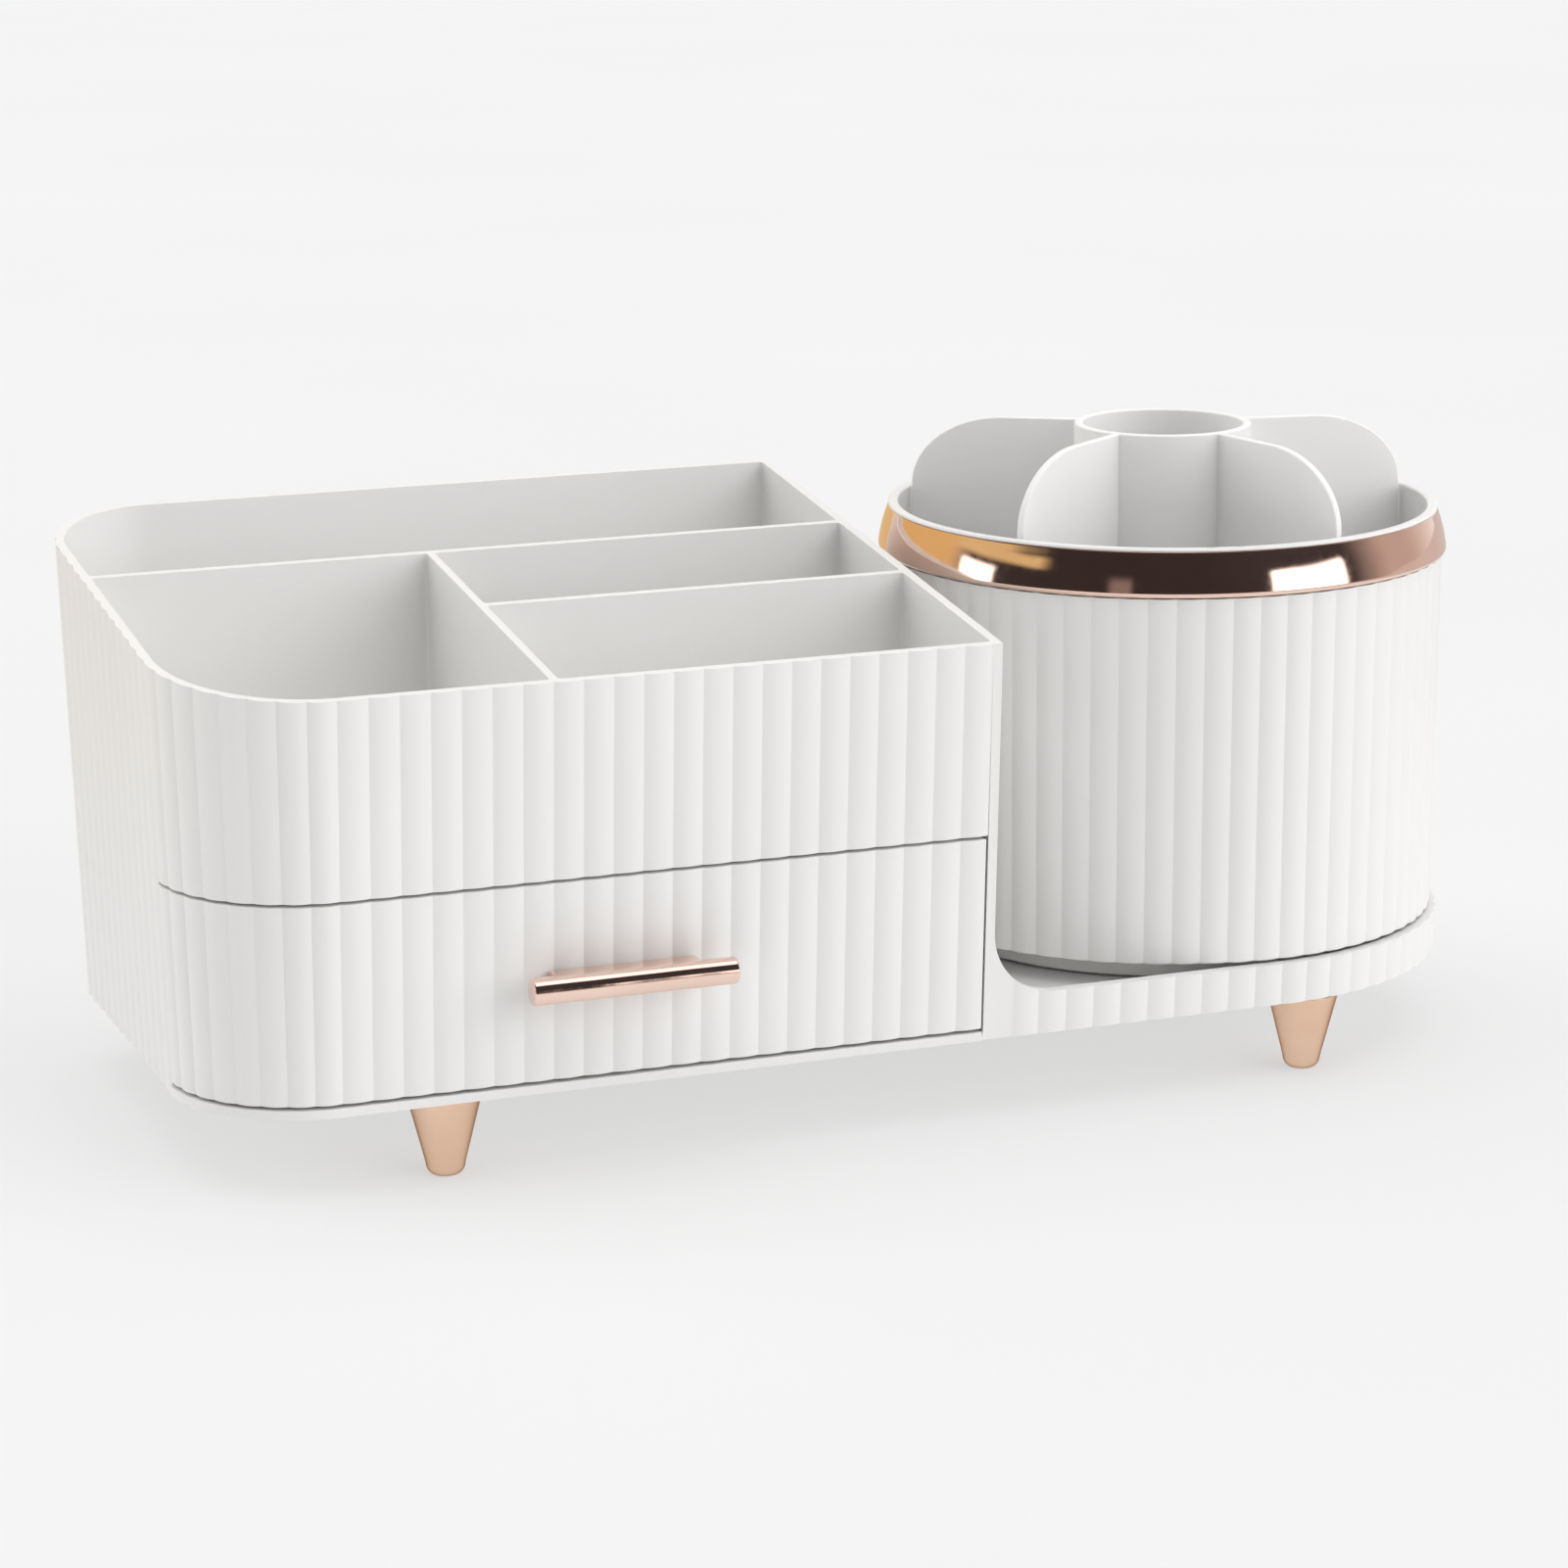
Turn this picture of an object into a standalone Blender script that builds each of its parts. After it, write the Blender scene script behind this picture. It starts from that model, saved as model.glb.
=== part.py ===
"""Rotating makeup organizer: a fluted caddy with a drawer, and a cup that turns beside it.

Metres, +Z up, the front facing -Y. The origin is on the surface that the feet stand on, under
the middle of the whole object. The pieces are drawn in a frame of their own, whose origin is
where the cup's axis meets the underside of the base, and the empty body_frame carries it.
"""

import math
from collections import namedtuple

import bmesh
import bpy
from mathutils import Matrix, Vector

# Driving dimensions of the caddy, heights taken from the underside of the base
CADDY_LENGTH = 0.1820
CADDY_GAP = 0.0054
BASE_HALF_DEPTH = 0.0666
FRONT_HEIGHT = 0.0910
SEAM_HEIGHT = 0.0476
RIM_RISE_SHARE = 0.127
FACE_LEAN_SHARE = 0.055
SIDE_LEAN_SHARE = 0.028
FRONT_CORNER = 0.0300
REAR_CORNER = 0.0240

# Walls and clearances
WALL = 0.0022
DIVIDER = 0.0018
JOINT_GAP = 0.0003
DRAWER_GAP = 0.0005
EDGE_ROUND = 0.0005
OVERRUN = 0.0100
OVERLAP = 0.0008
STEP = 0.0001

# Flutes, which run down every outer wall but the one beside the cup
FLUTE_PITCH = 0.00665
FLUTE_DEPTH = 0.0006
SHOULDER_SHARE = 0.3
FLUTE_LAND = 0.0007

# Tray compartments, places measured from the cup's axis
REAR_DIVIDER_Y = 0.0204
MIDDLE_DIVIDER_Y = -0.0187
LONG_DIVIDER_FROM_RIGHT = 0.1020

# Base, platform and its rim
BAY_FLOOR = 0.0020
RIM_HEIGHT = 0.0097
RIM_WALL = 0.0024
WEB_FILLET = 0.0150
PLATFORM_TOP = 0.0044
PLATFORM_FLOOR = 0.0022
END_STRIP = 0.0066

# Drawer
PANEL = 0.0024
DRAWER_WALL = 0.0018
DRAWER_SIDE_DROP = 0.0030
DRAWER_RAISE = 0.0026
DRAWER_REAR_ROOM = 0.0020
RUNNER_WIDTH = 0.0030
RUNNER_INSET = 0.0140
RUNNER_SETBACK = 0.0120

# Handle
HANDLE_FROM_RIGHT = 0.0867
HANDLE_HEIGHT = 0.0259
HANDLE_LENGTH = 0.0460
HANDLE_RADIUS = 0.0030
HANDLE_REACH = 0.0090
POST_SPREAD = 0.0140
POST_RADIUS = 0.0024

# Turning cup, its radii worked out from the platform's round end
CUP_LIFT = 0.0007
CUP_SETBACK = 0.0006
CUP_TAPER = 0.00065
CUP_WALL = 0.0038
CUP_NECK_WALL = 0.0013
CUP_FLOOR = 0.0022
CUP_BODY_HEIGHT = 0.0850
CUP_FLUTES = 64
RING_HEIGHT = 0.0109
RING_OVERHANG = 0.0009
RING_TAPER = 0.0023
TUBE_RISE = 0.0184
SECTOR_REACH = 0.0417
TUBE_WALL = 0.0020
FIN_COUNT = 5
FIN_PHASE = math.radians(-147.0)
FIN_THICKNESS = 0.0018
FIN_FLAT_LENGTH = 0.0130
FIN_DROP = 0.0185
FIN_CLEARANCE = 0.0009

# Turntable under the cup
DISC_SIDE_GAP = 0.0082
DISC_LIFT = 0.0005
HUB_RADIUS = 0.0044
HUB_WEB = 0.0025
HUB_RECESS = 0.0115
RACE_SETBACK = 0.0135
RACE_HALF_WIDTH = 0.0055
BALL_COUNT = 12
BALL_RADIUS = 0.0020
BALL_PLAY = 0.0001
CAGE_HEIGHT = 0.0014
CAGE_SIDE_PLAY = 0.0006
POCKET_PLAY = 0.0004
POST_TOP_PLAY = 0.0003
PIVOT_POST_RADIUS = 0.0040
WASHER_RADIUS = 0.0085
WASHER_HEIGHT = 0.0008
CUP_SCREW_GAP = 0.0033
CUP_SCREW_PHASE = math.radians(9.0)
CUP_SCREW_COUNT = 3

# Screws, all of one size
SCREW_RADIUS = 0.0012
SCREW_HEAD_RADIUS = 0.0032
SCREW_HEAD = 0.0014
SCREW_PLAY = 0.0005
SCREW_REACH = 0.0070

# Feet
FOOT_HEIGHT = 0.0183
FOOT_TOP_RADIUS = 0.0082
FOOT_NECK_RADIUS = 0.0043
FOOT_TIP_RADIUS = 0.0024
FOOT_TIP_ROUND = 0.0022
FOOT_BORE_DEPTH = 0.0090
FOOT_SETBACK = 0.0101
LEFT_FOOT_INSET = 0.0576
RIGHT_FOOT_OFFSET = 0.0106
FOOT_BOSS_SETBACK = 0.0004

# Facets round a circle, by the size of the piece
WIDE_FACETS = 64
MID_FACETS = 40
SMALL_FACETS = 12
CORNER_FACETS = 10
FILLET_FACETS = 8
TIP_FACETS = 3

# Derived places
CADDY_RIGHT = -BASE_HALF_DEPTH - CADDY_GAP
CADDY_LEFT = CADDY_RIGHT - CADDY_LENGTH
BASE_LEFT = CADDY_LEFT + SIDE_LEAN_SHARE * FRONT_HEIGHT
DRAWER_EDGE = CADDY_RIGHT - WALL
BAY_LEFT = BASE_LEFT + WALL
BAY_REAR = BASE_HALF_DEPTH - WALL
CORNER_Y = FRONT_CORNER - BASE_HALF_DEPTH
FRONT_RIM_Y = -BASE_HALF_DEPTH - FACE_LEAN_SHARE * FRONT_HEIGHT
PLATFORM_RADIUS = BASE_HALF_DEPTH - RIM_WALL
TRAY_BOTTOM = SEAM_HEIGHT
BASE_TOP = SEAM_HEIGHT - JOINT_GAP
DRAWER_TOP = SEAM_HEIGHT - DRAWER_GAP
DRAWER_BOTTOM = BAY_FLOOR + DRAWER_GAP
BOX_BOTTOM = BAY_FLOOR + DRAWER_RAISE
SCREW_HOLE = SCREW_RADIUS + SCREW_PLAY
PILOT_HOLE = SCREW_RADIUS + JOINT_GAP
FOOT_Y = BASE_HALF_DEPTH - FOOT_SETBACK
LEFT_FOOT_X = CADDY_LEFT + LEFT_FOOT_INSET
RIGHT_FOOT_X = RIGHT_FOOT_OFFSET
CUP_BOTTOM = RIM_HEIGHT + CUP_LIFT
CUP_FLOOR_TOP = CUP_BOTTOM + CUP_FLOOR
CUP_TOP_RADIUS = BASE_HALF_DEPTH - CUP_SETBACK
CUP_BOTTOM_RADIUS = CUP_TOP_RADIUS - CUP_TAPER
CUP_BORE = CUP_TOP_RADIUS - CUP_WALL
RING_BOTTOM = CUP_BOTTOM + CUP_BODY_HEIGHT
RING_TOP = RING_BOTTOM + RING_HEIGHT
RING_RADIUS = CUP_TOP_RADIUS + RING_OVERHANG
RING_TOP_RADIUS = RING_RADIUS - RING_TAPER
TUBE_TOP = RING_TOP + TUBE_RISE
TUBE_RADIUS = CUP_BORE - SECTOR_REACH
FIN_FLAT = TUBE_RADIUS + FIN_FLAT_LENGTH
DISC_RADIUS = PLATFORM_RADIUS - DISC_SIDE_GAP
RACE_RADIUS = DISC_RADIUS - RACE_SETBACK
CUP_SCREW_CIRCLE = TUBE_RADIUS + SCREW_HEAD_RADIUS + CUP_SCREW_GAP
DISC_BOTTOM = PLATFORM_TOP + DISC_LIFT
DISC_TOP = CUP_BOTTOM - JOINT_GAP
RACE_TOP = PLATFORM_TOP + 2.0 * BALL_RADIUS + BALL_PLAY + JOINT_GAP
HANDLE_X = CADDY_RIGHT - HANDLE_FROM_RIGHT
HANDLE_FACE_Y = -BASE_HALF_DEPTH - FACE_LEAN_SHARE * HANDLE_HEIGHT
HANDLE_Y = HANDLE_FACE_Y - HANDLE_REACH

# Where the body's own frame stands, so that the whole object is centred over the origin
REAR_RIM_HEIGHT = (
    FRONT_HEIGHT + RIM_RISE_SHARE * (BASE_HALF_DEPTH - FRONT_RIM_Y)
) / (1.0 - RIM_RISE_SHARE * FACE_LEAN_SHARE)
REAR_RIM_Y = BASE_HALF_DEPTH + FACE_LEAN_SHARE * REAR_RIM_HEIGHT
LEFT_RIM_HEIGHT = FRONT_HEIGHT + RIM_RISE_SHARE * (BASE_HALF_DEPTH - REAR_CORNER - FRONT_RIM_Y)
LEFT_REACH = BASE_LEFT - SIDE_LEAN_SHARE * LEFT_RIM_HEIGHT
FRAME_X = -(LEFT_REACH + RING_RADIUS) / 2.0
FRAME_Y = -(REAR_RIM_Y + HANDLE_Y - HANDLE_RADIUS) / 2.0
FRAME_Z = FOOT_HEIGHT + JOINT_GAP

Sample = namedtuple("Sample", "x y out_x out_y lean_x lean_y depth")


def material(name, colour, roughness, metallic):
    made = bpy.data.materials.new(name)
    made.use_nodes = True
    shader = made.node_tree.nodes["Principled BSDF"]
    shader.inputs["Base Color"].default_value = (*colour, 1.0)
    shader.inputs["Roughness"].default_value = roughness
    shader.inputs["Metallic"].default_value = metallic
    return made


def clear_scene():
    for obj in list(bpy.data.objects):
        bpy.data.objects.remove(obj, do_unlink=True)


def empty(name, place, parent=None):
    obj = bpy.data.objects.new(name, None)
    bpy.context.scene.collection.objects.link(obj)
    obj.parent = parent
    obj.location = place
    return obj


def to_object(name, bm, finish, parent):
    """Makes the mesh an object of the parent's frame, smooth but for its real edges."""
    bmesh.ops.recalc_face_normals(bm, faces=bm.faces[:])
    mesh = bpy.data.meshes.new(name)
    bm.to_mesh(mesh)
    bm.free()
    mesh.materials.append(finish)
    mesh.shade_smooth()
    mesh.set_sharp_from_angle(angle=math.radians(30.0))
    obj = bpy.data.objects.new(name, mesh)
    bpy.context.scene.collection.objects.link(obj)
    obj.parent = parent
    return obj


def helper(name, bm, finish, parent):
    """A cutter or an addition, which only a Boolean uses."""
    obj = to_object(name, bm, finish, parent)
    obj.hide_render = True
    obj.display_type = "WIRE"
    return obj


def boolean(obj, other, operation):
    modifier = obj.modifiers.new(other.name, "BOOLEAN")
    modifier.operation = operation
    modifier.object = other


def prism(bm, low, high):
    """A closed body between two outlines with as many points each."""
    bottom = [bm.verts.new(point) for point in low]
    top = [bm.verts.new(point) for point in high]
    bm.faces.new(reversed(bottom))
    bm.faces.new(top)
    for i, corner in enumerate(bottom):
        following = (i + 1) % len(bottom)
        bm.faces.new((corner, bottom[following], top[following], top[i]))


def upright(bm, outline, low, high):
    prism(
        bm,
        [Vector((x, y, low)) for x, y in outline],
        [Vector((x, y, high)) for x, y in outline],
    )


def vessel(bm, outer_low, outer_high, inner_high, inner_low):
    """A closed body like a box without a lid, from four outlines with as many points each."""
    rings = [[bm.verts.new(point) for point in ring] for ring in (outer_low, outer_high, inner_high, inner_low)]
    for lower, upper in zip(rings, rings[1:]):
        for i, corner in enumerate(lower):
            following = (i + 1) % len(lower)
            bm.faces.new((corner, lower[following], upper[following], upper[i]))
    bm.faces.new(reversed(rings[0]))
    bm.faces.new(rings[-1])


def circle(radius, facets, centre=(0.0, 0.0)):
    steps = [math.tau * i / facets for i in range(facets)]
    return [(centre[0] + radius * math.cos(t), centre[1] + radius * math.sin(t)) for t in steps]


def turned(bm, profile, facets):
    """Turns a closed profile of (radius, height) round the Z axis, down its outer side."""
    corners = [bm.verts.new((radius, 0.0, height)) for radius, height in profile]
    edges = [bm.edges.new((a, b)) for a, b in zip(corners, corners[1:])]
    on_axis = profile[0][0] == 0.0 and profile[-1][0] == 0.0
    if not on_axis:
        edges.append(bm.edges.new((corners[-1], corners[0])))
    bmesh.ops.spin(
        bm,
        geom=corners + edges,
        cent=(0.0, 0.0, 0.0),
        axis=(0.0, 0.0, 1.0),
        angle=math.tau,
        steps=facets,
        use_merge=True,
    )
    bmesh.ops.remove_doubles(bm, verts=bm.verts[:], dist=JOINT_GAP * 0.01)


def straight(start, end, out, lean, pitch=FLUTE_PITCH):
    """Fluted samples from start up to end, without end itself."""
    start, end = Vector(start), Vector(end)
    count = max(1, round((end - start).length / pitch))
    samples = []
    for flute in range(count):
        for share, depth in ((0.0, FLUTE_DEPTH), (SHOULDER_SHARE, 0.0), (1.0 - SHOULDER_SHARE, 0.0)):
            point = start.lerp(end, (flute + share) / count)
            samples.append(Sample(point.x, point.y, *out, *lean, depth))
    return samples


def rounded(centre, radius, first, last, lean):
    """Fluted samples round an arc, without its last point. lean gives the X and the Y share."""
    count = max(1, round(radius * abs(last - first) / FLUTE_PITCH))
    samples = []
    for flute in range(count):
        for share, depth in ((0.0, FLUTE_DEPTH), (SHOULDER_SHARE, 0.0), (1.0 - SHOULDER_SHARE, 0.0)):
            angle = first + (last - first) * (flute + share) / count
            out_x, out_y = math.cos(angle), math.sin(angle)
            samples.append(
                Sample(
                    centre[0] + radius * out_x,
                    centre[1] + radius * out_y,
                    out_x,
                    out_y,
                    lean[0] * out_x,
                    lean[1] * out_y,
                    depth,
                )
            )
    return samples


def plain(x, y, out_x, out_y, depth=0.0):
    return [Sample(x, y, out_x, out_y, 0.0, FACE_LEAN_SHARE * out_y, depth)]


def caddy_left_side():
    """The rear, the left side and the front of the caddy, from its rear right to its front right."""
    face = (0.0, FACE_LEAN_SHARE)
    depth = BASE_HALF_DEPTH
    corner_lean = (SIDE_LEAN_SHARE, FACE_LEAN_SHARE)
    rear = straight((DRAWER_EDGE, depth), (BASE_LEFT + REAR_CORNER, depth), (0.0, 1.0), face)
    rear += rounded(
        (BASE_LEFT + REAR_CORNER, depth - REAR_CORNER),
        REAR_CORNER,
        math.pi / 2.0,
        math.pi,
        corner_lean,
    )
    return rear + left_wall() + front_panel()


def left_wall():
    return straight(
        (BASE_LEFT, BASE_HALF_DEPTH - REAR_CORNER),
        (BASE_LEFT, CORNER_Y),
        (-1.0, 0.0),
        (-SIDE_LEAN_SHARE, 0.0),
    )


def front_panel():
    """The front left corner and the front, up to the drawer's right edge, with that last valley."""
    corner = rounded(
        (BASE_LEFT + FRONT_CORNER, CORNER_Y),
        FRONT_CORNER,
        math.pi,
        math.pi * 1.5,
        (SIDE_LEAN_SHARE, FACE_LEAN_SHARE),
    )
    front = straight(
        (BASE_LEFT + FRONT_CORNER, -BASE_HALF_DEPTH),
        (DRAWER_EDGE, -BASE_HALF_DEPTH),
        (0.0, -1.0),
        (0.0, -FACE_LEAN_SHARE),
    )
    return corner + front + plain(DRAWER_EDGE, -BASE_HALF_DEPTH, 0.0, -1.0, FLUTE_DEPTH)


def corner_at(x, y, lean_x, lean_y):
    return Sample(x, y, 0.0, 0.0, lean_x, lean_y, 0.0)


def inner_corner(centre, radius, first, lean):
    """Plain samples round a quarter turn from the angle first."""
    samples = []
    for i in range(CORNER_FACETS + 1):
        angle = first + math.pi / 2.0 * i / CORNER_FACETS
        out_x, out_y = math.cos(angle), math.sin(angle)
        x, y = centre[0] + radius * out_x, centre[1] + radius * out_y
        samples.append(corner_at(x, y, lean[0] * out_x, lean[1] * out_y))
    return samples


def tray_outline():
    """The caddy's whole outline, with a flat right side that stands upright."""
    land = DRAWER_EDGE + FLUTE_LAND
    depth = BASE_HALF_DEPTH
    outline = caddy_left_side()
    outline += plain(land, -depth, 0.0, -1.0)
    outline += plain(CADDY_RIGHT, -depth, 1.0, -1.0)
    outline += plain(CADDY_RIGHT, depth, 1.0, 1.0)
    outline += plain(land, depth, 0.0, 1.0)
    return outline


def base_outline():
    """The outline of the base: the caddy's, with the platform's round end."""
    depth = BASE_HALF_DEPTH
    land = DRAWER_EDGE + FLUTE_LAND
    strip = DRAWER_EDGE + END_STRIP
    face_lean = (SIDE_LEAN_SHARE, FACE_LEAN_SHARE)
    outline = caddy_left_side()
    outline += plain(land, -depth, 0.0, -1.0)
    outline += plain(strip - FLUTE_LAND, -depth, 0.0, -1.0)
    outline += straight((strip, -depth), (0.0, -depth), (0.0, -1.0), (0.0, -FACE_LEAN_SHARE))
    outline += rounded((0.0, 0.0), depth, -math.pi / 2.0, math.pi / 2.0, face_lean)
    outline += straight((0.0, depth), (strip, depth), (0.0, 1.0), (0.0, FACE_LEAN_SHARE))
    outline += plain(strip, depth, 0.0, 1.0, FLUTE_DEPTH)
    outline += plain(strip - FLUTE_LAND, depth, 0.0, 1.0)
    outline += plain(land, depth, 0.0, 1.0)
    return outline


def level(outline, height, inset=None):
    """The outline's points at one height, as fluted, or at an inset from the flutes' crests."""
    points = []
    for at in outline:
        cut = at.depth if inset is None else inset
        points.append(
            Vector(
                (
                    at.x + at.lean_x * height - at.out_x * cut,
                    at.y + at.lean_y * height - at.out_y * cut,
                    height,
                )
            )
        )
    return points


def sloped(outline):
    """The outline's points where it meets the rim, which rises towards the rear."""
    points = []
    for at in outline:
        y = at.y - at.out_y * at.depth
        rise = FRONT_HEIGHT + RIM_RISE_SHARE * (y - FRONT_RIM_Y)
        points += level([at], rise / (1.0 - RIM_RISE_SHARE * at.lean_y))
    return points


def tray_pockets():
    """The four compartments, whose sides lean with the walls and stand upright at the dividers."""
    half = DIVIDER / 2.0
    long_x = CADDY_RIGHT - LONG_DIVIDER_FROM_RIGHT
    right = CADDY_RIGHT - WALL
    left = BASE_LEFT + WALL
    front, rear = WALL - BASE_HALF_DEPTH, BASE_HALF_DEPTH - WALL
    rear_round, front_round = REAR_CORNER - WALL, FRONT_CORNER - WALL
    lean = (SIDE_LEAN_SHARE, FACE_LEAN_SHARE)
    behind = inner_corner((left + rear_round, rear - rear_round), rear_round, math.pi / 2.0, lean)
    behind += [
        corner_at(left, REAR_DIVIDER_Y + half, -SIDE_LEAN_SHARE, 0.0),
        corner_at(right, REAR_DIVIDER_Y + half, 0.0, 0.0),
        corner_at(right, rear, 0.0, FACE_LEAN_SHARE),
    ]
    beside = inner_corner((left + front_round, front + front_round), front_round, math.pi, lean)
    beside += [
        corner_at(long_x - half, front, 0.0, -FACE_LEAN_SHARE),
        corner_at(long_x - half, REAR_DIVIDER_Y - half, 0.0, 0.0),
        corner_at(left, REAR_DIVIDER_Y - half, -SIDE_LEAN_SHARE, 0.0),
    ]
    middle = [
        corner_at(long_x + half, REAR_DIVIDER_Y - half, 0.0, 0.0),
        corner_at(long_x + half, MIDDLE_DIVIDER_Y + half, 0.0, 0.0),
        corner_at(right, MIDDLE_DIVIDER_Y + half, 0.0, 0.0),
        corner_at(right, REAR_DIVIDER_Y - half, 0.0, 0.0),
    ]
    ahead = [
        corner_at(long_x + half, MIDDLE_DIVIDER_Y - half, 0.0, 0.0),
        corner_at(long_x + half, front, 0.0, -FACE_LEAN_SHARE),
        corner_at(right, front, 0.0, -FACE_LEAN_SHARE),
        corner_at(right, MIDDLE_DIVIDER_Y - half, 0.0, 0.0),
    ]
    bm = bmesh.new()
    for outline in (behind, beside, middle, ahead):
        prism(bm, level(outline, TRAY_BOTTOM + WALL), level(outline, REAR_RIM_HEIGHT + OVERRUN))
    return bm


def make_tray(white, frame):
    outline = tray_outline()
    bm = bmesh.new()
    prism(bm, level(outline, TRAY_BOTTOM), sloped(outline))
    tray = to_object("tray_shell", bm, white, frame)
    boolean(tray, helper("tray_compartments", tray_pockets(), white, frame), "DIFFERENCE")


def bay_cutter():
    """The room for the drawer, open at the front and round the front left corner."""
    bm = bmesh.new()
    outside_x = BASE_LEFT - OVERRUN
    outside_y = -BASE_HALF_DEPTH - OVERRUN
    radius = REAR_CORNER - WALL
    lean = (SIDE_LEAN_SHARE, FACE_LEAN_SHARE)
    outline = inner_corner((BAY_LEFT + radius, BAY_REAR - radius), radius, math.pi / 2.0, lean)
    outline += [
        corner_at(BAY_LEFT, CORNER_Y, -SIDE_LEAN_SHARE, 0.0),
        corner_at(outside_x, CORNER_Y, 0.0, 0.0),
        corner_at(outside_x, outside_y, 0.0, 0.0),
        corner_at(DRAWER_EDGE, outside_y, 0.0, 0.0),
        corner_at(DRAWER_EDGE, BAY_REAR, 0.0, FACE_LEAN_SHARE),
    ]
    prism(bm, level(outline, BAY_FLOOR), level(outline, BASE_TOP + OVERRUN))
    return bm


def round_end(radius, start_x):
    """A plan outline that runs straight from start_x to the cup's axis and ends in a half circle."""
    facets = WIDE_FACETS // 2
    turn = [math.pi * (i / facets - 1.0 / 2.0) for i in range(facets + 1)]
    arc = [(radius * math.cos(t), radius * math.sin(t)) for t in turn]
    return [(start_x, -radius)] + arc + [(start_x, radius)]


def over_rim_cutter():
    """Clears all that stands over the platform's rim, and leaves the fillet up to the caddy."""
    centre_x = CADDY_RIGHT + WEB_FILLET
    centre_z = RIM_HEIGHT + WEB_FILLET
    profile = []
    for i in range(FILLET_FACETS + 1):
        angle = math.pi + math.pi / 2.0 * i / FILLET_FACETS
        profile.append((centre_x + WEB_FILLET * math.cos(angle), centre_z + WEB_FILLET * math.sin(angle)))
    end_x = BASE_HALF_DEPTH + OVERRUN
    top = BASE_TOP + OVERRUN
    profile += [(end_x, RIM_HEIGHT), (end_x, top), (CADDY_RIGHT, top)]
    reach = BASE_HALF_DEPTH + OVERRUN
    bm = bmesh.new()
    prism(
        bm,
        [Vector((x, -reach, z)) for x, z in profile],
        [Vector((x, reach, z)) for x, z in profile],
    )
    return bm


def foot_places():
    return {
        "front_left": (LEFT_FOOT_X, -FOOT_Y),
        "rear_left": (LEFT_FOOT_X, FOOT_Y),
        "front_right": (RIGHT_FOOT_X, -FOOT_Y),
        "rear_right": (RIGHT_FOOT_X, FOOT_Y),
    }


def make_base(white, frame):
    bm = bmesh.new()
    outline = base_outline()
    prism(bm, level(outline, 0.0), level(outline, BASE_TOP))
    base = to_object("base_shell", bm, white, frame)

    bay = helper("drawer_bay", bay_cutter(), white, frame)
    boolean(base, bay, "DIFFERENCE")
    boolean(base, helper("over_rim", over_rim_cutter(), white, frame), "DIFFERENCE")

    bm = bmesh.new()
    upright(bm, round_end(PLATFORM_RADIUS, CADDY_RIGHT), PLATFORM_TOP, BASE_TOP + OVERRUN)
    boolean(base, helper("platform_pocket", bm, white, frame), "DIFFERENCE")

    bm = bmesh.new()
    under = PLATFORM_TOP - PLATFORM_FLOOR
    upright(bm, round_end(PLATFORM_RADIUS, CADDY_RIGHT + RIM_WALL), -OVERRUN, under)
    boolean(base, helper("underside_recess", bm, white, frame), "DIFFERENCE")

    bm = bmesh.new()
    boss = FOOT_TOP_RADIUS - FOOT_BOSS_SETBACK
    for side in (-FOOT_Y, FOOT_Y):
        place = (RIGHT_FOOT_X, side)
        upright(bm, circle(boss, SMALL_FACETS * 2, place), STEP, under + OVERLAP)
    post_top = DISC_BOTTOM + HUB_WEB + POST_TOP_PLAY
    upright(bm, circle(PIVOT_POST_RADIUS, SMALL_FACETS * 2), JOINT_GAP, post_top)
    boolean(base, helper("bosses", bm, white, frame), "UNION")

    bm = bmesh.new()
    for x, y in foot_places().values():
        upright(bm, circle(SCREW_HOLE, SMALL_FACETS, (x, y)), -OVERRUN, OVERRUN)
    upright(bm, circle(PILOT_HOLE, SMALL_FACETS), BAY_FLOOR, post_top + OVERRUN)
    boolean(base, helper("screw_holes", bm, white, frame), "DIFFERENCE")

    bm = bmesh.new()
    seat = PLATFORM_TOP - SCREW_HEAD - JOINT_GAP
    for side in (-FOOT_Y, FOOT_Y):
        hole = circle(SCREW_HEAD_RADIUS + SCREW_PLAY, SMALL_FACETS, (RIGHT_FOOT_X, side))
        upright(bm, hole, seat, PLATFORM_TOP + OVERRUN)
    boolean(base, helper("counterbores", bm, white, frame), "DIFFERENCE")


def drawer_box_outline(inset):
    """The drawer's box in plan at height zero, as samples that lean like the wall they are on."""
    left = BAY_LEFT + DRAWER_GAP
    right = DRAWER_EDGE - DRAWER_GAP
    rear = BAY_REAR - DRAWER_REAR_ROOM
    centre = (BASE_LEFT + FRONT_CORNER, CORNER_Y)
    side_inset = left - BASE_LEFT
    front_inset = PANEL - OVERLAP - FLUTE_DEPTH
    lean_y = FACE_LEAN_SHARE
    round_rear = REAR_CORNER - WALL
    samples = [corner_at(right - inset, rear - inset, 0.0, 0.0)]
    rear_centre = (left + round_rear, rear - round_rear)
    samples += inner_corner(rear_centre, round_rear - inset, math.pi / 2.0, (0.0, 0.0))
    for i in range(CORNER_FACETS + 1):
        share = i / CORNER_FACETS
        angle = math.pi * (1.0 + share / 2.0)
        radius = FRONT_CORNER - inset - side_inset + (side_inset - front_inset) * share
        x = centre[0] + radius * math.cos(angle)
        y = centre[1] + radius * math.sin(angle)
        samples.append(corner_at(x, y, 0.0, lean_y * math.sin(angle)))
    front = -BASE_HALF_DEPTH + front_inset + inset
    samples.append(corner_at(right - inset, front, 0.0, -lean_y))
    return samples


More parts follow.
